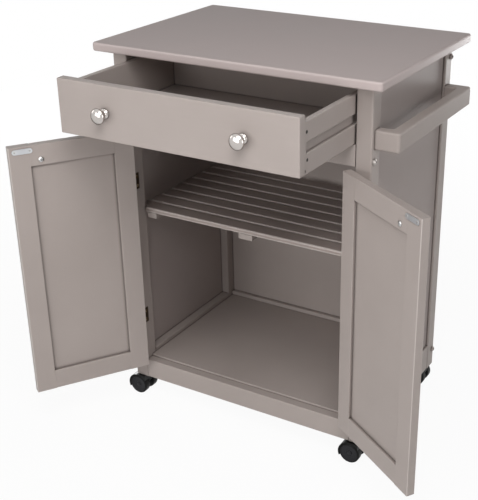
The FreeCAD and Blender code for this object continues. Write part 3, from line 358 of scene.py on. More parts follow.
@dataclass(frozen=True)
class Finish:
    """A surface finish: two close colours, shine and relief from one of the shared groups.

    Attributes:
        name: name of the material.
        slot: the record's slot for new pieces in this finish; not used.
        dark: colour in the low parts of the pattern, linear.
        light: colour in the high parts of the pattern, linear.
        gloss: mean roughness.
        relief: strength of the bump.
        metallic: metallic share.
        depth: height of the bump in metres.
        effect: the pattern.
        grain: direction in which a board's pattern is stretched.
        grain_share: how far the grain shows through.
        turn: angle of a swung board about the upright, in degrees.
        specular: specular level.
        accent: painted shade in a recess, plain colour on a wheel's tread, a painted highlight along an edge;
            None where there is none.
        rubbed: painted highlight along a board's eased edges, or None where the finish isn't a board's.
        joint: painted shade where a board meets the next one and in its corners.
        ease: width of a board's eased edge in metres.
        gap: how far the painted shade reaches from joints and corners, in metres.
        tint: colour of the reflection at a flat angle.
    """

    name: str
    slot: Slot
    dark: Colour
    light: Colour
    gloss: float
    relief: float
    metallic: float = 0.0
    depth: float = 0.0001
    effect: Effect = Effect.PAINT_FILM
    grain: Grain = Grain.NONE
    grain_share: float = 0.0
    turn: float = 0.0
    specular: float = 0.5
    accent: Colour | None = None
    rubbed: Colour | None = None
    joint: Colour = (0.125, 0.104, 0.096)
    ease: float = 0.002
    gap: float = 0.0042
    tint: Colour = (1.0, 1.0, 1.0)

    def _pattern(self, graph: NodeGraph, groups: EffectGroups) -> bpy.types.Node:
        """Place the shared group on the piece's own coordinates.

        Args:
            graph: the material's nodes.
            groups: the shared effects.

        Returns:
            The group node.
        """
        place = graph.add("TexCoord").outputs["Object"]
        inputs = {"Vector": place, "Gloss": self.gloss}
        if self.effect is Effect.PAINT_FILM:
            swing = (0.0, 0.0, -math.radians(self.turn))
            swung = graph.add("Mapping", {"Vector": place, "Rotation": swing}).outputs[0]
            drawn = graph.add("Mapping", {"Vector": swung, "Scale": self.grain.value}).outputs[0]
            inputs.update({"Grain Vector": drawn, "Grain": self.grain_share})
        return graph.add("Group", inputs, node_tree=groups.patterns[self.effect])

    def _along(self) -> Place:
        """Direction of the board's length, swung with it.

        Returns:
            A unit vector, or zero where there is no grain.
        """
        x, y, z = self.grain.axis
        cosine, sine = math.cos(math.radians(self.turn)), math.sin(math.radians(self.turn))
        return x * cosine - y * sine, x * sine + y * cosine, z

    def material(self, groups: EffectGroups) -> bpy.types.Material:
        """Build the material's nodes.

        Args:
            groups: the shared effects.

        Returns:
            The finished material.
        """
        made = bpy.data.materials.new(self.name)
        made.use_nodes = True
        graph = NodeGraph(made.node_tree)
        pattern = self._pattern(graph, groups)
        colour = graph.mix(pattern.outputs["Tone"], (*self.dark, 1.0), (*self.light, 1.0))
        # Painted shade in recesses and painted highlights along marked edges; on wheels, the tread's own
        # colour.
        if self.accent:
            marked = graph.add("Attribute", attribute_name=TREAD_AND_PAINTED_LIGHT).outputs["Fac"]
            colour = graph.mix(marked, colour, (*self.accent, 1.0))
        relief = {"Height": pattern.outputs["Height"], "Strength": self.relief, "Distance": self.depth}
        # Painted highlights along the eased edges, and painted shade in joints and corners.
        if self.rubbed:
            inputs = {"Ease": self.ease, "Gap": self.gap, "Along": self._along()}
            board = graph.add("Group", inputs, node_tree=groups.board_edge).outputs
            colour = graph.mix(board["Edge"], colour, (*self.rubbed, 1.0))
            colour = graph.mix(board["Joint"], colour, (*self.joint, 1.0))
            relief["Normal"] = board["Normal"]
        shader = graph.add("BsdfPrincipled", {
            "Base Color": colour,
            "Roughness": pattern.outputs["Roughness"],
            "Normal": graph.add("Bump", relief).outputs[0],
            "Metallic": self.metallic,
            "Specular IOR Level": self.specular,
            "Specular Tint": (*self.tint, 1.0),
        })
        graph.add("OutputMaterial", {"Surface": shader.outputs[0]})
        return made


# Linear colours of the paint: the boards, painted highlights on their edges, and painted shade in joints and
# corners.
PAINT_DARK = (0.368, 0.320, 0.297)
PAINT_LIGHT = (0.402, 0.351, 0.328)
PAINT_MIDDLE = (0.385, 0.336, 0.312)
PAINT_EDGE_HIGHLIGHT = (0.60, 0.54, 0.51)
STILE_EDGE_HIGHLIGHT = (0.51, 0.455, 0.43)
RAIL_EDGE_HIGHLIGHT = (0.72, 0.66, 0.63)
SLAT_EDGE_HIGHLIGHT = (0.98, 0.92, 0.88)
TOP_MIDDLE = (0.480, 0.408, 0.394)
TOP_EDGE_HIGHLIGHT = (0.535, 0.460, 0.445)
FLOOR_JOINT_SHADE = (0.24, 0.205, 0.19)
# How far the grain shows, specular levels of the paint, and how far the door frame's painted shade reaches,
# in metres.
GRAIN_SHARE = 0.5
SATIN = 0.14
DULL = 0.04
DOOR_SHADE_REACH = 0.0075
# Opening angles of the doors at rest, in degrees.
LEFT_OPEN = 123.4
RIGHT_OPEN = 147.0


def paint(name: str, grain: Grain = Grain.NONE, **choices: object) -> Finish:
    """Warm grey satin paint on a board, with painted highlights along its edges and painted shade in its
    joints and corners.

    Args:
        name: name of the material.
        grain: direction of the board's grain.
        choices: fields of the finish that differ from the usual board's.

    Returns:
        The finish.
    """
    share = 0.0 if grain is Grain.NONE else GRAIN_SHARE
    usual = Finish(name, Slot.PAINTED_WOOD, PAINT_DARK, PAINT_LIGHT, gloss=0.42, relief=0.12, depth=0.0002,
                   grain=grain, grain_share=share, specular=SATIN, rubbed=PAINT_EDGE_HIGHLIGHT)
    return replace(usual, **choices)


def metal(name: str, slot: Slot, dark: Colour, light: Colour, gloss: float, **choices: object) -> Finish:
    """Metal with fine polishing lines; the choices are the fields of the finish that differ."""
    usual = Finish(name, slot, dark, light, gloss, metallic=1.0, relief=0.08, effect=Effect.BRUSHED)
    return replace(usual, **choices)


def plastic(name: str, slot: Slot, dark: Colour, light: Colour, gloss: float, **choices: object) -> Finish:
    """Moulded plastic with a fine spark grain; the choices are the fields of the finish that differ."""
    usual = Finish(name, slot, dark, light, gloss, relief=0.22, effect=Effect.MOULDED, specular=SATIN)
    return replace(usual, **choices)


PANEL_PAINT = paint("panel_paint")
# The worktop is painted lighter than the same paint elsewhere, standing for the stronger light on its top and
# the sheen that its low specular loses; a painted highlight runs along its upper edge.
TOP_PAINT = paint("top_paint", dark=(0.460, 0.391, 0.377), light=(0.500, 0.425, 0.412), specular=0.05,
                  rubbed=TOP_MIDDLE, ease=0.001, accent=TOP_EDGE_HIGHLIGHT)
# Side panels are painted a little lighter than the same paint elsewhere, standing for the sheen that their
# dull specular loses.
SIDE_PAINT = paint("side_paint", dark=(0.378, 0.328, 0.310), light=(0.412, 0.358, 0.339), specular=DULL)
TOWEL_PAINT = paint("towel_paint", Grain.ALONG_Y, specular=DULL, rubbed=RAIL_EDGE_HIGHLIGHT)
DOOR_PANEL_PAINT = paint("door_panel_paint", gap=DOOR_SHADE_REACH)
# Floor panel and front bottom rail: a lighter painted shade in their joints and corners.
FLOOR_PAINT = paint("floor_paint", joint=FLOOR_JOINT_SHADE)
RAIL_PAINT = paint("rail_paint", Grain.ALONG_X)
CLEAT_PAINT = paint("cleat_paint", Grain.ALONG_Y)
POST_PAINT = paint("post_paint", Grain.UPRIGHT, ease=0.003)
# Stiles: no painted highlight where the rails meet them, a painted highlight along their outer edges, painted
# shade at the panel.
STILE_PAINT = paint("stile_paint", Grain.UPRIGHT, rubbed=PAINT_MIDDLE, ease=0.0003, accent=STILE_EDGE_HIGHLIGHT,
                    gap=DOOR_SHADE_REACH)
# Slats are painted darker than the other boards, standing for the shade under the drawer, with near-white
# painted highlights along their edges.
SLAT_PAINT = paint("slat_paint", Grain.ALONG_X, dark=(0.325, 0.270, 0.248), light=(0.355, 0.297, 0.274),
                   rubbed=SLAT_EDGE_HIGHLIGHT, ease=0.0065)
LEFT_RAIL_PAINT = paint("left_door_rail_paint", Grain.ALONG_X, turn=-LEFT_OPEN, rubbed=RAIL_EDGE_HIGHLIGHT,
                        gap=DOOR_SHADE_REACH)
RIGHT_RAIL_PAINT = paint("right_door_rail_paint", Grain.ALONG_X, turn=RIGHT_OPEN, rubbed=RAIL_EDGE_HIGHLIGHT,
                         gap=DOOR_SHADE_REACH)
# The dark tint turns the knobs' reflection at flat angles dark: a painted dark reflection at their rims.
NICKEL = metal("satin_nickel", Slot.SATIN_NICKEL, (0.50, 0.468, 0.445), (0.60, 0.562, 0.535), 0.15,
               tint=(0.04, 0.036, 0.034))
ZINC = metal("zinc_plate", Slot.ZINC_PLATE, (0.48, 0.49, 0.51), (0.62, 0.63, 0.65), 0.34)
BRASS = metal("hinge_brass", Slot.HINGE_BRASS, (0.070, 0.050, 0.034), (0.13, 0.095, 0.062), 0.38)
# The dark colours given for the recesses of bolts and screws are painted shade.
BOLT = metal("dull_bolt", Slot.ZINC_PLATE, (0.34, 0.31, 0.29), (0.45, 0.42, 0.40), 0.4,
             accent=(0.06, 0.055, 0.05))
ZINC_SCREW = metal("zinc_screw", Slot.ZINC_PLATE, (0.50, 0.50, 0.50), (0.64, 0.64, 0.63), 0.28,
                   accent=(0.05, 0.05, 0.05))
BRASS_SCREW = metal("brass_screw", Slot.HINGE_BRASS, (0.42, 0.33, 0.20), (0.60, 0.49, 0.31), 0.28,
                    accent=(0.04, 0.03, 0.02))
DARK_SCREW = metal("dark_screw", Slot.ZINC_PLATE, (0.035, 0.032, 0.030), (0.060, 0.056, 0.052), 0.4,
                   accent=(0.008, 0.008, 0.008))
HOOD_PLASTIC = plastic("caster_plastic", Slot.BLACK_PLASTIC, (0.006, 0.006, 0.006), (0.010, 0.010, 0.010),
                       0.4)
WHEEL_PLASTIC = plastic("wheel_plastic", Slot.WHEEL_PLASTIC, (0.015, 0.015, 0.017), (0.024, 0.024, 0.027),
                        0.46, accent=(0.004, 0.004, 0.004))

CORNERS = tuple(f"{end.word}_{side.word}" for end in End for side in Side)
DOORS = tuple(f"{side.word}_door" for side in Side)
CABINET = "cabinet"
DRAWER = "drawer"
STILES = ("hinge_stile", "lock_stile")
RAILS = ("top_rail", "bottom_rail")

NODE_FINISHES: dict[Finish, tuple[str, ...]] = {
    TOP_PAINT: ("worktop",),
    PANEL_PAINT: ("back_panel", "drawer_bottom"),
    SIDE_PAINT: tuple(f"side_panel_{side.word}" for side in Side),
    TOWEL_PAINT: ("towel_bar",),
    DOOR_PANEL_PAINT: tuple(f"{door}_panel" for door in DOORS),
    FLOOR_PAINT: ("floor_panel", "front_bottom_rail"),
    RAIL_PAINT: ("rear_bottom_rail", "drawer_cross_rail", "rear_top_rail", "drawer_front", "drawer_back"),
    SLAT_PAINT: ("shelf_slats",),
    CLEAT_PAINT: ("side_bottom_rails", "top_cleats", "drawer_runners", "floor_cleats", "shelf_battens",
                  *(f"drawer_side_{side.word}" for side in Side)),
    POST_PAINT: tuple(f"post_{corner}" for corner in CORNERS),
    STILE_PAINT: tuple(f"{door}_{stile}" for door in DOORS for stile in STILES),
    LEFT_RAIL_PAINT: tuple(f"{DOORS[0]}_{rail}" for rail in RAILS),
    RIGHT_RAIL_PAINT: tuple(f"{DOORS[1]}_{rail}" for rail in RAILS),
    NICKEL: (*(f"{door}_knob" for door in DOORS), "drawer_knobs"),
    ZINC: (*(f"{door}_strike_plate" for door in DOORS), "shelf_pins", "frame_bolts", "caster_stems",
           *(f"caster_{corner}_axle" for corner in CORNERS)),
    BRASS: ("hinge_frame_leaves", "hinge_pins", *(f"{door}_hinge_leaves" for door in DOORS)),
    HOOD_PLASTIC: ("magnetic_catches", *(f"caster_{corner}_hood" for corner in CORNERS)),
    WHEEL_PLASTIC: tuple(f"caster_{corner}_wheels" for corner in CORNERS),
}


@dataclass(frozen=True)
class Shell:
    """A closed surface as a grid of points whose columns join into rings.

    Attributes:
        points: rows by columns by 3, in metres.
        accent: rows by columns, from 0 to 1, how far the finish's colour shows for painted shade in a recess,
            a painted highlight or a tread.
    """

    points: np.ndarray
    accent: np.ndarray

    def faces(self) -> np.ndarray:
        """Join neighbours on one ring and the same two on the next ring.

        Returns:
            The numbers of each face's four corners.
        """
        rows, columns = self.accent.shape
        ring = np.arange(rows - 1)[:, None] * columns
        here = np.arange(columns)[None, :]
        after = (here + 1) % columns
        corners = (ring + here, ring + after, ring + columns + after, ring + columns + here)
        return np.stack(corners, axis=-1).reshape(-1, 4)


@dataclass(frozen=True)
class Seat:
    """A place on a face of the closed cart.

    Attributes:
        point: the place.
        normal: direction that looks away from the face.
    """

    point: Place
    normal: Place

    def carry(self, local: np.ndarray) -> np.ndarray:
        """Local points into the closed cart.

        The third coordinate runs along the normal, the first two along a level direction and the one
        square to both.

        Args:
            local: points on the face's own axes.

        Returns:
            The same points in the cart's frame.
        """
        normal = np.array(self.normal)
        level = np.cross((0.0, 0.0, 1.0), normal)
        upward = np.cross(normal, level)
        return np.array(self.point) + local @ np.stack((level, upward, normal))


@dataclass(frozen=True)
class Stance:
    """How an assembly stands at rest.

    Attributes:
        pivot: upright pin that it turns about.
        swing: angle about the pin, in degrees.
        forward: how far it is drawn forward.
    """

    pivot: Span = (0.0, 0.0)
    swing: float = 0.0
    forward: float = 0.0

    def move(self, points: np.ndarray) -> np.ndarray:
        """Turn points about the pin by the swing, then move them forward.

        Args:
            points: points of the closed cart.

        Returns:
            The same points at rest.
        """
        angle = math.radians(self.swing)
        cosine, sine = math.cos(angle), math.sin(angle)
        turn = np.array([[cosine, -sine, 0.0], [sine, cosine, 0.0], [0.0, 0.0, 1.0]])
        pin = np.array((*self.pivot, 0.0))
        return (points - pin) @ turn.T + pin - np.array((0.0, self.forward, 0.0))


FIXED = Stance()


def turned(profile: np.ndarray, segments: int) -> np.ndarray:
    """Profile of radius and height carried round the third axis: r cos a, r sin a, h.

    Args:
        profile: rows of radius and height.
        segments: points on each ring.

    Returns:
        Grid of points, rows by segments by 3.
    """
    angle = np.linspace(0.0, 2.0 * math.pi, segments, endpoint=False)
    radius, height = profile[:, :1], profile[:, 1:]
    return np.stack((radius * np.cos(angle), radius * np.sin(angle), height + 0.0 * angle), axis=-1)


def ramp(value: np.ndarray) -> np.ndarray:
    """Smooth step from 0 to 1: 3 t^2 - 2 t^3 with t held between 0 and 1."""
    share = np.clip(value, 0.0, 1.0)
    return share * share * (3.0 - 2.0 * share)


@dataclass(frozen=True)
class Fastener:
    """Head of a screw or bolt with its recess.

    Attributes:
        radius: head radius.
        rim: height of the head's edge over its face.
        crown: height of the dome over the edge.
        reach: recess, from its middle to its end.
        depth: recess depth.
        width: half width of a cross recess's slots.
        sink: how far the head's foot lies under the face.
        drive: shape of the recess.
        slope: width of the recess's sloped side, as a share of the radius.
        rings: rings on the dome.
        segments: points on each ring.
    """

    radius: float
    rim: float
    crown: float
    reach: float
    depth: float
    width: float = 0.0
    sink: float = 0.5 * MM
    drive: Drive = Drive.CROSS
    slope: float = 0.08
    rings: int = 26
    segments: int = 60

    def _recess(self, x: np.ndarray, y: np.ndarray) -> np.ndarray:
        """Mask of the recess: two crossed slots, or the points inside three pairs of parallel lines.

        Args:
            x: first coordinates of the head's points.
            y: second coordinates of the head's points.

        Returns:
            1 inside the recess and 0 outside, with a ramp between them.
        """
        soft = self.radius * self.slope
        if self.drive is Drive.CROSS:
            near, far = np.minimum(abs(x), abs(y)), np.maximum(abs(x), abs(y))
            return ramp((self.width - near) / soft) * ramp((self.reach - far) / soft)
        pairs = [abs(x * math.cos(a) + y * math.sin(a)) for a in (0.0, math.pi / 3, 2 * math.pi / 3)]
        return ramp((self.reach - np.maximum.reduce(pairs)) / soft)

    def shell(self) -> Shell:
        """Dome h = rim + crown (1 - (r / R)^2), lowered in the recess, with a side that goes into the face.

        Returns:
            The head on its own axes.
        """
        share = np.linspace(0.0, 1.0, self.rings)
        dome = np.stack((self.radius * share, self.rim + self.crown * (1.0 - share ** 2)), axis=1)
        foot = np.array([[self.radius, -self.sink], [0.0, -self.sink]])
        points = turned(np.concatenate((dome, foot)), self.segments)
        # The recess mask also lays the finish's painted shade into the recess.
        recess = self._recess(points[..., 0], points[..., 1])
        recess[self.rings:] = 0.0
        points[..., 2] -= self.depth * recess
        return Shell(points, recess)


@dataclass(frozen=True)
class Knob:
    """Turned mushroom knob with its screw.

    Attributes:
        dome: radius of the dome.
        reach: height over the face.
        rise: dome over its widest ring.
        under: dome below its widest ring.
        neck: neck radius.
        foot: foot radius.
        edge: rounding of the foot's edge.
        waist: height where the foot's flare meets the neck.
        foot_rings: rings on the foot's edge, and on its flare.
        under_rings: rings on the dome below its widest ring.
        over_rings: rings on the dome from its widest ring up.
        segments: points on each ring.
        screw: head of the screw behind the board.
    """

    dome: float = 15.3 * MM
    reach: float = 30.0 * MM
    rise: float = 8.5 * MM
    under: float = 6.5 * MM
    neck: float = 5.2 * MM
    foot: float = 9.5 * MM
    edge: float = 1.3 * MM
    waist: float = 8.0 * MM
    foot_rings: int = 16
    under_rings: int = 20
    over_rings: int = 26
    segments: int = 72
    screw: Fastener = Fastener(radius=5.4 * MM, rim=1.0 * MM, crown=1.8 * MM, reach=2.8 * MM, depth=1.4 * MM,
                               width=0.6 * MM)

    def shell(self) -> Shell:
        """Foot with a half-round edge, a flare that narrows as a square, and a dome of two half ellipses.

        Returns:
            The knob on its own axes.
        """
        step = np.linspace(0.0, 1.0, self.foot_rings)
        round_edge = (step - 0.5) * math.pi
        lip, low, widest = self.foot - self.edge, 2.0 * self.edge, self.reach - self.rise
        below = np.linspace(-math.acos(self.neck / self.dome), 0.0, self.under_rings)
        above = np.linspace(0.0, QUARTER_TURN, self.over_rings)[1:]
        flare = self.neck + (lip - self.neck) * (1.0 - step) ** 2
        radius = (np.zeros(1), lip + self.edge * np.cos(round_edge), flare[1:],
                  self.dome * np.cos(below), self.dome * np.cos(above))
        height = (np.zeros(1), self.edge * (1.0 + np.sin(round_edge)), (low + (self.waist - low) * step)[1:],
                  widest + self.under * np.sin(below), widest + self.rise * np.sin(above))
        points = turned(np.stack((np.concatenate(radius), np.concatenate(height)), axis=1), self.segments)
        return Shell(points, np.zeros(points.shape[:2]))


@dataclass(frozen=True)
class Stile:
    """Upright board of a door's frame, rounded and grooved on its inner side only between the rails.

    Attributes:
        width: across the door.
        thick: door thickness.
        foot: height of its lower end.
        top: height of its upper end.
        rail: height of the rails that meet it.
        ease: radius of its long edges.
        groove: depth of the panel's groove.
        groove_start: groove behind the outer face.
        groove_width: width of the groove.
        run_out: length over which the rounding and the groove end.
        arc: points on a rounded edge.
    """

    width: float = 43.0 * MM
    thick: float = 18.0 * MM
    foot: float = 100.0 * MM
    top: float = 674.5 * MM
    rail: float = 45.0 * MM
    ease: float = 1.5 * MM
    groove: float = 6.0 * MM
    groove_start: float = 5.4 * MM
    groove_width: float = 6.2 * MM
    run_out: float = 0.5 * MM
    arc: int = 6

    def shell(self) -> Shell:
        """Section carried up the board.

        The section is a rectangle whose corner points are moved in by (1 - cos a, 1 - sin a) times a
        radius, with a square groove in its inner side. The inner radius and the groove's depth are
        nothing beside the rails.

        Returns:
            The board: first from its inner side outwards, then from its outer face back, then upwards.
        """
        turn = np.linspace(0.0, QUARTER_TURN, self.arc)
        rise, fall = 1.0 - np.cos(turn), 1.0 - np.sin(turn)
        plain = np.zeros(4)
        bends = ((rise, fall), (-fall, rise), (-rise, -fall), (fall, -rise), (plain, plain))
        bend = np.concatenate([np.stack(pair, axis=1) for pair in bends])
        corners = np.array([[0.0, 0.0], [self.width, 0.0], [self.width, self.thick], [0.0, self.thick]])
        mouth = np.array([[0.0, self.groove_start + self.groove_width], [0.0, self.groove_start]])
        base = np.concatenate((np.repeat(corners, self.arc, axis=0), np.repeat(mouth, 2, axis=0)))
        sink = np.zeros_like(base)
        sink[-3:-1, 0] = self.groove
        low, high, run = self.foot + self.rail, self.top - self.rail, self.run_out
        # Height of each row, then whether the section is open, its inner edges rounded and its groove sunk.
        rows = np.array([(self.foot, 0, 0, 0), (self.foot, 1, 0, 0), (self.foot + run, 1, 0, 0),
                         (low - self.groove - run, 1, 0, 0), (low - self.groove, 1, 0, 1),
                         (low - run, 1, 0, 1), (low, 1, 1, 1), (high, 1, 1, 1), (high + run, 1, 0, 1),
                         (high + self.groove, 1, 0, 1), (high + self.groove + run, 1, 0, 0),
                         (self.top - run, 1, 0, 0), (self.top, 1, 0, 0), (self.top, 0, 0, 0)])
        height, spread, rounded, sunk = (column[:, None, None] for column in rows.T)
        inner = (base[:, :1] == 0.0)[None]
        section = base + self.ease * np.where(inner, rounded, 1.0) * bend + sunk * sink
        middle = np.array((self.width, self.thick)) / 2.0
        flat = middle + spread * (section - middle)
        points = np.concatenate((flat, np.broadcast_to(height, (*flat.shape[:2], 1))), axis=-1)
        # Mask of the painted highlight along the outer rounded edges.
        edges = np.zeros(points.shape[:2])
        edges[2:-2] = (base[:, 0] > 0.0) & (bend != 0.0).all(axis=1)
        return Shell(points, edges)


class Workshop:
    """Makes pieces from surfaces, dresses them and puts them on their bodies."""

    def __init__(self) -> None:
        """Build the shared effects."""
        self.groups = EffectGroups()
        self.made: dict[Finish, bpy.types.Material] = {}

    def dress(self, piece: bpy.types.Object, finish: Finish) -> None:
        """Give a piece one finish all over, building its material on first use.

        Args:
            piece: a node or a new piece.
            finish: its finish.
        """
        if finish not in self.made:
            self.made[finish] = finish.material(self.groups)
        piece.data.materials.clear()
        piece.data.materials.append(self.made[finish])

    def dress_nodes(self) -> None:
        """Dress every node of the frame from the table."""
        for finish, names in NODE_FINISHES.items():
            for name in names:
                self.dress(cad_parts[name], finish)
            LOG.info("%s on %d nodes", finish.name, len(names))

    def piece(self, name: str, shells: list[Shell], finish: Finish, body: str,
              stands_for: tuple[str, ...] = (), smooth: bool = True) -> None:
        """Make one piece of one or more closed surfaces.

        Args:
            name: name of the piece.
            shells: its surfaces, in the cart's frame at rest.
            finish: its finish.
            body: the body that carries it.
            stands_for: nodes that it replaces.
            smooth: whether its facets blend into one surface.
        """
        starts = np.cumsum([0] + [shell.accent.size for shell in shells])
        points = np.concatenate([shell.points.reshape(-1, 3) for shell in shells])
        faces = np.concatenate([shell.faces() + start for shell, start in zip(shells, starts)])
        mesh = bpy.data.meshes.new(name)
        mesh.from_pydata(points.tolist(), [], faces.tolist())
        accent = mesh.attributes.new(TREAD_AND_PAINTED_LIGHT, "FLOAT", "POINT")
        accent.data.foreach_set("value", np.concatenate([shell.accent.ravel() for shell in shells]))
        work = bmesh.new()
        work.from_mesh(mesh)
        bmesh.ops.remove_doubles(work, verts=work.verts, dist=MERGE_REACH)
        bmesh.ops.recalc_face_normals(work, faces=work.faces)
        work.to_mesh(mesh)
        work.free()
        mesh.polygons.foreach_set("use_smooth", np.full(len(mesh.polygons), smooth))
        if smooth:
            mesh.set_sharp_from_angle(angle=SHARP_EDGE)
        made = bpy.data.objects.new(name, mesh)
        bpy.context.scene.collection.objects.link(made)
        self.dress(made, finish)
        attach(made, body)
        if stands_for:
            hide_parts(*stands_for)
        LOG.info("%s: %d faces on %s", name, len(mesh.polygons), body)

    def fit(self, name: str, shell: Shell, seats: list[Seat], finish: Finish, body: str,
            stance: Stance = FIXED, stands_for: tuple[str, ...] = ()) -> None:
        """Make one piece of copies of a surface, one on each seat.

        Args:
            name: name of the piece.
            shell: the surface on its own axes.
            seats: where the copies sit on the closed cart.
            finish: its finish.
            body: the body that carries it.
            stance: how the body stands at rest.
            stands_for: nodes that it replaces.
        """
        copies = [Shell(stance.move(seat.carry(shell.points)), shell.accent) for seat in seats]
        self.piece(name, copies, finish, body, stands_for)


@dataclass(frozen=True)
class Worktop:
    """Board with rounded corners and edges.

    Attributes:
        width: left to right.
        depth: front to back.
        thick: thickness.
        face: height of its face.
        corner: radius of its corners in plan.
        edge: radius of its edges.
        strip: flat strip beside a rounded edge.
        arc: points on a corner or an edge.
    """

    width: float = 660.0 * MM
    depth: float = 452.0 * MM
    thick: float = 18.0 * MM
    face: float = 854.0 * MM
    corner: float = 8.0 * MM
    edge: float = 4.0 * MM
    strip: float = 1.0 * MM
    arc: int = 9

    def shell(self) -> Shell:
        """Rounded rectangles, one at each height, drawn in along a quarter circle at both edges.

        A point is a corner's middle plus the corner's radius, less the drawing in, in its own direction.

        Returns:
            The board in the cart's frame, with the mask of a painted highlight along its upper edge.
        """
        turn = np.linspace(0.0, QUARTER_TURN, self.arc)
        rise, fall = self.edge * (1.0 - np.cos(turn)), self.edge * (1.0 - np.sin(turn))
        foot, within = self.face - self.thick, self.edge + self.strip
        inset = np.concatenate(([within, within], fall, rise, [within, within]))
        height = np.concatenate(([foot, foot], foot + rise, self.face - fall, [self.face, self.face]))
        spread = np.ones_like(height)
        spread[[0, -1]] = 0.0
        heading = np.concatenate([turn + quarter * QUARTER_TURN for quarter in range(4)])
        ahead = np.stack((np.cos(heading), np.sin(heading)), axis=1)
        signs = np.repeat([[1.0, 1.0], [-1.0, 1.0], [-1.0, -1.0], [1.0, -1.0]], self.arc, axis=0)
        middles = signs * (np.array((self.width, self.depth)) / 2.0 - self.corner)
        flat = spread[:, None, None] * (middles + (self.corner - inset)[:, None, None] * ahead)
        levels = np.broadcast_to(height[:, None, None], (*flat.shape[:2], 1))
        edges = np.zeros(flat.shape[:2])
        # Painted highlight: strongest at the middle of the upper rounded edge.
        edges[2 + self.arc:1 + 2 * self.arc] = np.sin(2.0 * turn)[:-1, None]
        return Shell(np.concatenate((flat, levels), axis=-1), edges)

    def build(self, workshop: Workshop) -> None:
        """Make the board."""
        workshop.piece("worktop_board", [self.shell()], TOP_PAINT, CABINET, ("worktop",))


@dataclass(frozen=True)
class Hinges:
    """Screws in the leaves of a door's two hinges.

    Attributes:
        leaf_y: middle of a leaf, front to back.
        heights: middles of the hinges.
        screw_rise: screws over and under a hinge's middle.
        screw: head of a screw, thin enough for two leaves to meet.
    """

    leaf_y: float = -188.3 * MM
    heights: tuple[float, ...] = (215.0 * MM, 547.5 * MM)
    screw_rise: float = 10.5 * MM
    screw: Fastener = Fastener(radius=3.3 * MM, rim=0.06 * MM, crown=0.03 * MM, reach=2.0 * MM,
                               depth=0.05 * MM, width=0.45 * MM, sink=0.3 * MM)

    def seats(self, leaf_x: float, facing: int) -> list[Seat]:
        """Seats of the screws in the leaves of one door or of its frame, closed.

        Args:
            leaf_x: visible face of the leaves.
            facing: sign of x in the direction that the face looks in.

        Returns:
            One seat for each screw.
        """
        return [Seat((leaf_x, self.leaf_y, height + sign * self.screw_rise), (facing, 0.0, 0.0))
                for height in self.heights for sign in (-1, 1)]


@dataclass(frozen=True)
class Carcass:
    """Fixed cabinet: bolts in the posts and screws in the frame leaves of the hinges.

    Attributes:
        half_width: from the middle to the posts' outer faces.
        bolt_y: bolts from the middle, front to back.
        front_bolts: heights of the front bolts.
        rear_bolts: heights of the rear bolts.
        leaf_x: visible face of a frame leaf from the middle.
        hinges: screws of the hinges.
        bolt: head of a frame bolt.
    """

    half_width: float = 300.0 * MM
    bolt_y: float = 186.0 * MM
    front_bolts: tuple[float, ...] = (86.0 * MM, 689.0 * MM)
    rear_bolts: tuple[float, ...] = (95.0 * MM, 809.0 * MM)
    leaf_x: float = 265.1 * MM
    hinges: Hinges = Hinges()
    bolt: Fastener = Fastener(radius=6.5 * MM, rim=2.0 * MM, crown=4.0 * MM, reach=2.2 * MM, depth=3.0 * MM,
                              sink=1.0 * MM, drive=Drive.HEXAGON)

    def build(self, workshop: Workshop) -> None:
        """Make the bolts and the frame leaves' screws.

        Args:
            workshop: makes the pieces.
        """
        rows = ((End.FRONT, self.front_bolts, BOLT, ("frame_bolts",)),
                (End.REAR, self.rear_bolts, POST_PAINT, ()))
        for end, heights, finish, nodes in rows:
            y = end.value * self.bolt_y
            seats = [Seat((side.value * self.half_width, y, height), (side.value, 0.0, 0.0))
                     for side in Side for height in heights]
            workshop.fit(f"{end.word}_bolt_heads", self.bolt.shell(), seats, finish, CABINET,
                         stands_for=nodes)
        seats = [seat for side in Side for seat in self.hinges.seats(side.value * self.leaf_x, -side.value)]
        workshop.fit("frame_leaf_screws", self.hinges.screw.shell(), seats, BRASS_SCREW, CABINET)


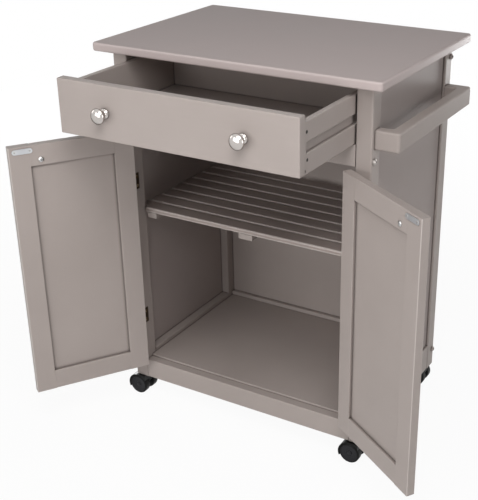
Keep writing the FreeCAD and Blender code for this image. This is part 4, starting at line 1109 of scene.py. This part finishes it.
@dataclass(frozen=True)
class Door:
    """Swung door: stiles, knob with its screw, strike plate screws and hinge screws.

    Attributes:
        side: which door.
        swing: opening angle at rest, in degrees.
        pin_x: hinge pin from the middle.
        pin_y: hinge pin, front to back.
        face_y: outer face of the closed door.
        thick: door thickness.
        knob_x: knob from the middle, closed.
        knob_z: knob height.
        strike_x: middle of the strike plate.
        strike_z: height of the strike plate.
        strike_thick: strike plate thickness.
        strike_span: screws from the plate's middle.
        leaf_x: visible face of a door leaf from the middle.
        hinge_stile_x: inner side of the hinge stile from the middle.
        lock_stile_x: inner side of the lock stile from the middle.
        stile: either stile.
        knob: the knob.
        hinges: screws of the hinges.
        strike_screw: head of a strike plate's screw.
    """

    side: Side
    swing: float
    pin_x: float = 265.0 * MM
    pin_y: float = -201.5 * MM
    face_y: float = -196.0 * MM
    thick: float = 18.0 * MM
    knob_x: float = 66.0 * MM
    knob_z: float = 642.0 * MM
    strike_x: float = 29.0 * MM
    strike_z: float = 664.0 * MM
    strike_thick: float = 1.0 * MM
    strike_span: float = 15.8 * MM
    leaf_x: float = 264.9 * MM
    hinge_stile_x: float = 221.0 * MM
    lock_stile_x: float = 44.25 * MM
    stile: Stile = Stile()
    knob: Knob = Knob()
    hinges: Hinges = Hinges()
    strike_screw: Fastener = Fastener(radius=2.9 * MM, rim=0.15 * MM, crown=0.25 * MM, reach=1.8 * MM,
                                      depth=0.25 * MM, width=0.4 * MM)

    def build_stiles(self, workshop: Workshop, body: str, stance: Stance) -> None:
        """Make the two stiles, each with its inner side toward the panel.

        Args:
            workshop: makes the pieces.
            body: the door's body.
            stance: how the door stands at rest.
        """
        sign, shell = self.side.value, self.stile.shell()
        out, back, height = np.moveaxis(shell.points, -1, 0)
        for name, inner, away in zip(STILES, (self.hinge_stile_x, self.lock_stile_x), (sign, -sign)):
            closed = np.stack((sign * inner + away * out, self.face_y + back, height), axis=-1)
            board = Shell(stance.move(closed), shell.accent)
            workshop.piece(f"{body}_{name}_board", [board], STILE_PAINT, body, (f"{body}_{name}",),
                           smooth=False)

    def build(self, workshop: Workshop) -> None:
        """Make the door's stiles and small pieces.

        Args:
            workshop: makes the pieces.
        """
        sign, body = self.side.value, f"{self.side.word}_door"
        stance = Stance((sign * self.pin_x, self.pin_y), sign * self.swing)
        back_y = self.face_y + self.thick
        front = Seat((sign * self.knob_x, self.face_y, self.knob_z), TO_FRONT)
        back = Seat((sign * self.knob_x, back_y, self.knob_z), TO_BACK)
        strike = [Seat((sign * self.strike_x + shift, back_y + self.strike_thick, self.strike_z), TO_BACK)
                  for shift in (-self.strike_span, self.strike_span)]
        leaf = self.hinges.seats(sign * self.leaf_x, sign)
        self.build_stiles(workshop, body, stance)
        workshop.fit(f"{body}_turned_knob", self.knob.shell(), [front], NICKEL, body, stance,
                     (f"{body}_knob",))
        workshop.fit(f"{body}_knob_screw", self.knob.screw.shell(), [back], ZINC_SCREW, body, stance)
        workshop.fit(f"{body}_strike_screws", self.strike_screw.shell(), strike, ZINC_SCREW, body, stance)
        workshop.fit(f"{body}_leaf_screws", self.hinges.screw.shell(), leaf, BRASS_SCREW, body, stance)


@dataclass(frozen=True)
class Drawer:
    """Drawn drawer: two knobs with their screws, and the screws that hold the sides to the front.

    Attributes:
        forward: how far it stands out at rest.
        face_y: outer face of the closed drawer.
        thick: thickness of the drawer front.
        knob_x: knobs from the middle.
        knob_z: height of the knobs.
        side_x: outer face of a drawer side from the middle.
        side_screws: place of each side screw behind the front's outer face and its height.
        knob: either knob.
        side_screw: head of a side screw.
    """

    forward: float = 213.7 * MM
    face_y: float = -196.0 * MM
    thick: float = 18.0 * MM
    knob_x: float = 152.3 * MM
    knob_z: float = 776.5 * MM
    side_x: float = 263.0 * MM
    side_screws: tuple[Span, ...] = ((27.7 * MM, 798.0 * MM), (29.7 * MM, 747.0 * MM),
                                     (20.7 * MM, 728.0 * MM))
    knob: Knob = Knob()
    side_screw: Fastener = Fastener(radius=3.2 * MM, rim=0.25 * MM, crown=0.25 * MM, reach=2.0 * MM,
                                    depth=0.35 * MM, width=0.5 * MM)

    def build(self, workshop: Workshop) -> None:
        """Make the drawer's small pieces.

        Args:
            workshop: makes the pieces.
        """
        stance, back_y = Stance(forward=self.forward), self.face_y + self.thick
        fronts = [Seat((side.value * self.knob_x, self.face_y, self.knob_z), TO_FRONT) for side in Side]
        backs = [Seat((side.value * self.knob_x, back_y, self.knob_z), TO_BACK) for side in Side]
        sides = [Seat((side.value * self.side_x, self.face_y + back, height), (side.value, 0.0, 0.0))
                 for side in Side for back, height in self.side_screws]
        workshop.fit("drawer_turned_knobs", self.knob.shell(), fronts, NICKEL, DRAWER, stance,
                     ("drawer_knobs",))
        workshop.fit("drawer_knob_screws", self.knob.screw.shell(), backs, ZINC_SCREW, DRAWER, stance)
        workshop.fit("drawer_side_screws", self.side_screw.shell(), sides, DARK_SCREW, DRAWER, stance)


@dataclass(frozen=True)
class Caster:
    """Two wheels of a swivel caster.

    Attributes:
        end: front or rear.
        side: left or right.
        stem_x: swivel axis from the middle, left to right.
        stem_y: swivel axis from the middle, front to back.
        trail: axle to the left of the swivel axis at rest.
        radius: wheel radius, and height of the axle.
        width: width of one wheel.
        inner: inner face of a wheel from the middle of the caster.
        shoulder: rounding of the tread's edges.
        rim: outer radius of the dished face.
        groove: depth of the grooves round the dish and round the hub.
        slant: how far the groove's outer side leans in, as a share of its depth.
        step: dish below the rim.
        dish: depth of the dish.
        hub: hub radius.
        crown: height of the hub's dome, as a share of the dish.
        edge_rings: rings on each rounded edge.
        face_rings: rings on the dish, and on the hub.
        segments: points on each ring.
    """

    end: End
    side: Side
    stem_x: float = 283.0 * MM
    stem_y: float = 178.5 * MM
    trail: float = 11.5 * MM
    radius: float = 23.5 * MM
    width: float = 16.5 * MM
    inner: float = 7.0 * MM
    shoulder: float = 2.6 * MM
    rim: float = 19.2 * MM
    groove: float = 0.8 * MM
    slant: float = 0.4
    step: float = 0.3 * MM
    dish: float = 1.4 * MM
    hub: float = 5.8 * MM
    crown: float = 0.6
    edge_rings: int = 8
    face_rings: int = 16
    segments: int = 72

    def wheel(self) -> Shell:
        """Tread with quarter-round edges, a shallow dish that falls as a square, and a domed hub in a groove.

        Returns:
            The wheel on its own axes, marked on its tread.
        """
        turn = np.linspace(0.0, QUARTER_TURN, self.edge_rings)
        core, top = self.radius - self.shoulder, self.width - self.shoulder
        share = np.linspace(1.0, 0.0, self.face_rings)
        across = self.hub + self.groove + (self.rim - self.hub - 2.0 * self.groove) * share
        dished = self.width - self.step - self.dish * (1.0 - (across / self.rim) ** 2)
        domed = self.width - self.dish * (1.0 - self.crown * (1.0 - share ** 2))
        radius = (np.zeros(1), core + self.shoulder * np.sin(turn), core + self.shoulder * np.cos(turn),
                  [self.rim, self.rim - self.slant * self.groove], across, [self.hub], self.hub * share)
        height = (np.zeros(1), self.shoulder * (1.0 - np.cos(turn)), top + self.shoulder * np.sin(turn),
                  [self.width, self.width - self.groove], dished, [self.width - 2.0 * self.dish], domed)
        points = turned(np.stack((np.concatenate(radius), np.concatenate(height)), axis=1), self.segments)
        tread = np.zeros(points.shape[:2])
        tread[1:1 + 2 * self.edge_rings] = 1.0
        return Shell(points, tread)

    def build(self, workshop: Workshop) -> None:
        """Make the two wheels on their axle.

        Args:
            workshop: makes the pieces.
        """
        name = f"caster_{self.end.word}_{self.side.word}"
        x, y = self.side.value * self.stem_x - self.trail, self.end.value * self.stem_y
        seats = [Seat((x, y + sign * self.inner, self.radius), (0.0, sign, 0.0)) for sign in (-1, 1)]
        workshop.fit(f"{name}_turned_wheels", self.wheel(), seats, WHEEL_PLASTIC, f"{name}_roller",
                     stands_for=(f"{name}_wheels",))


@dataclass(frozen=True)
class Softbox:
    """Square soft light.

    Attributes:
        name: name of the lamp.
        place: where it stands.
        size: length of its side.
        power: its power in watts.
    """

    name: str
    place: Place
    size: float
    power: float

    def build(self, target: Place) -> None:
        """Set the lamp up.

        Args:
            target: the point that it looks at.
        """
        lamp = bpy.data.lights.new(self.name, "AREA")
        lamp.size = self.size
        lamp.energy = self.power
        holder = bpy.data.objects.new(self.name, lamp)
        holder.location = self.place
        holder.rotation_mode = "QUATERNION"
        holder.rotation_quaternion = (Vector(target) - Vector(self.place)).to_track_quat("-Z", "Y")
        bpy.context.scene.collection.objects.link(holder)


@dataclass(frozen=True)
class Studio:
    """Camera, lights, floor and background.

    Attributes:
        eye: camera place in metres.
        yaw: turn of the view to the left, in radians.
        pitch: tilt of the view, in radians.
        roll: roll of the view, in radians.
        focal: focal length in pixels of the image.
        middle: optical middle in pixels of the image.
        sensor: sensor width in millimetres.
        floor_reach: half width of the floor.
        floor_shade: how pale the floor is.
        floor_glow: share of plain white in what is seen of the floor near the cart; far away it is all white.
        shadow_reach: distances from the cart between which the floor turns plain white.
        target: point near the middle of the cart that the lamps look at.
        lamps: the lamps.
    """

    eye: Place = (1.0431, -1.8139, 1.3284)
    yaw: float = 0.5222
    pitch: float = -0.4316
    roll: float = -0.0054
    focal: float = 1003.26
    middle: Span = (285.0, 250.0)
    sensor: float = 36.0
    floor_reach: float = 14.0
    floor_shade: float = 0.86
    floor_glow: float = 0.94
    shadow_reach: Span = (0.6, 3.0)
    target: Place = (0.0, -0.1, 0.45)
    lamps: tuple[Softbox, ...] = (
        Softbox("front_box", (0.0, -3.45, 1.0), 1.4, 26.0),
        Softbox("left_box", (-1.12, -3.19, 1.33), 1.4, 22.5),
        Softbox("far_left_box", (-3.09, -0.93, 1.61), 1.4, 9.0),
        Softbox("right_box", (3.3, -0.6, 0.9), 1.4, 23.0),
        Softbox("high_box", (1.25, -1.6, 3.24), 1.4, 35.0),
        Softbox("near_box", (0.43, -1.3, 1.72), 0.8, 9.5),
        Softbox("rear_box", (0.5, 2.8, 0.42), 0.8, 42.0),
        Softbox("rear_left_box", (-2.5, 1.8, 0.42), 0.8, 36.0),
    )

    def camera(self) -> None:
        """Camera whose axes are built from the view's yaw, pitch and roll."""
        flat = math.cos(self.pitch)
        forward = Vector((-math.sin(self.yaw) * flat, math.cos(self.yaw) * flat, math.sin(self.pitch)))
        level = Vector((math.cos(self.yaw), math.sin(self.yaw), 0.0))
        upward = level.cross(forward)
        right = level * math.cos(self.roll) + upward * math.sin(self.roll)
        above = upward * math.cos(self.roll) - level * math.sin(self.roll)
        lens = bpy.data.cameras.new("view")
        lens.sensor_width = self.sensor
        lens.lens = self.focal / IMAGE_HEIGHT * self.sensor
        lens.shift_x = (IMAGE_WIDTH / 2 - self.middle[0]) / IMAGE_HEIGHT
        lens.shift_y = (self.middle[1] - IMAGE_HEIGHT / 2) / IMAGE_HEIGHT
        holder = bpy.data.objects.new("view", lens)
        axes = Matrix((right, above, -forward)).transposed().to_4x4()
        holder.matrix_world = Matrix.Translation(self.eye) @ axes
        bpy.context.scene.collection.objects.link(holder)
        bpy.context.scene.camera = holder

    @staticmethod
    def seen(graph: NodeGraph) -> Socket:
        """Mask of the rays that look at the background, straight or in a reflection.

        Args:
            graph: nodes that the mask is added to.

        Returns:
            1 for such a ray and 0 for any other.
        """
        path = graph.add("LightPath").outputs
        mirrored = graph.math("MAXIMUM", path["Is Glossy Ray"], path["Is Transmission Ray"])
        return graph.math("MAXIMUM", path["Is Camera Ray"], mirrored)

    def background(self) -> None:
        """White where it is seen; only the lamps light the cart's matt surfaces."""
        world = bpy.data.worlds.new("studio")
        world.use_nodes = True
        bpy.context.scene.world = world
        graph = NodeGraph(world.node_tree)
        light = graph.add("Background", {"Color": WHITE, "Strength": self.seen(graph)})
        graph.add("OutputWorld", {"Surface": light.outputs[0]})

    def floor(self) -> None:
        """Wide pale floor that keeps a faint shadow of the cart."""
        corners = np.array([[-1, -1, 0], [1, -1, 0], [1, 1, 0], [-1, 1, 0]]) * self.floor_reach
        mesh = bpy.data.meshes.new("floor")
        mesh.from_pydata(corners.tolist(), [], [(0, 1, 2, 3)])
        ground = bpy.data.objects.new("floor", mesh)
        bpy.context.scene.collection.objects.link(ground)
        made = bpy.data.materials.new("floor")
        made.use_nodes = True
        graph = NodeGraph(made.node_tree)
        place = graph.add("TexCoord").outputs["Object"]
        away = graph.add("VectorMath", {0: place}, operation="LENGTH").outputs["Value"]
        glow = graph.remap(away, self.shadow_reach, (self.floor_glow, 1.0))
        share = graph.math("MULTIPLY", self.seen(graph), glow)
        matt = graph.add("BsdfDiffuse", {"Color": (*[self.floor_shade] * 3, 1.0)})
        white = graph.add("Emission", {"Color": WHITE, "Strength": 1.0})
        blend = graph.add("MixShader", {0: share, 1: matt.outputs[0], 2: white.outputs[0]})
        graph.add("OutputMaterial", {"Surface": blend.outputs[0]})
        mesh.materials.append(made)

    def build(self) -> None:
        """Set the whole studio up."""
        bpy.context.scene.view_settings.view_transform = "Standard"
        self.camera()
        self.background()
        self.floor()
        for lamp in self.lamps:
            lamp.build(self.target)


def main() -> None:
    """Dress the frame, add the new pieces and set up the studio."""
    logging.basicConfig(level=logging.INFO)
    workshop = Workshop()
    workshop.dress_nodes()
    Worktop().build(workshop)
    Carcass().build(workshop)
    Door(Side.LEFT, LEFT_OPEN).build(workshop)
    Door(Side.RIGHT, RIGHT_OPEN).build(workshop)
    Drawer().build(workshop)
    for end in End:
        for side in Side:
            Caster(end, side).build(workshop)
    Studio().build()


if __name__ == "__main__":
    main()
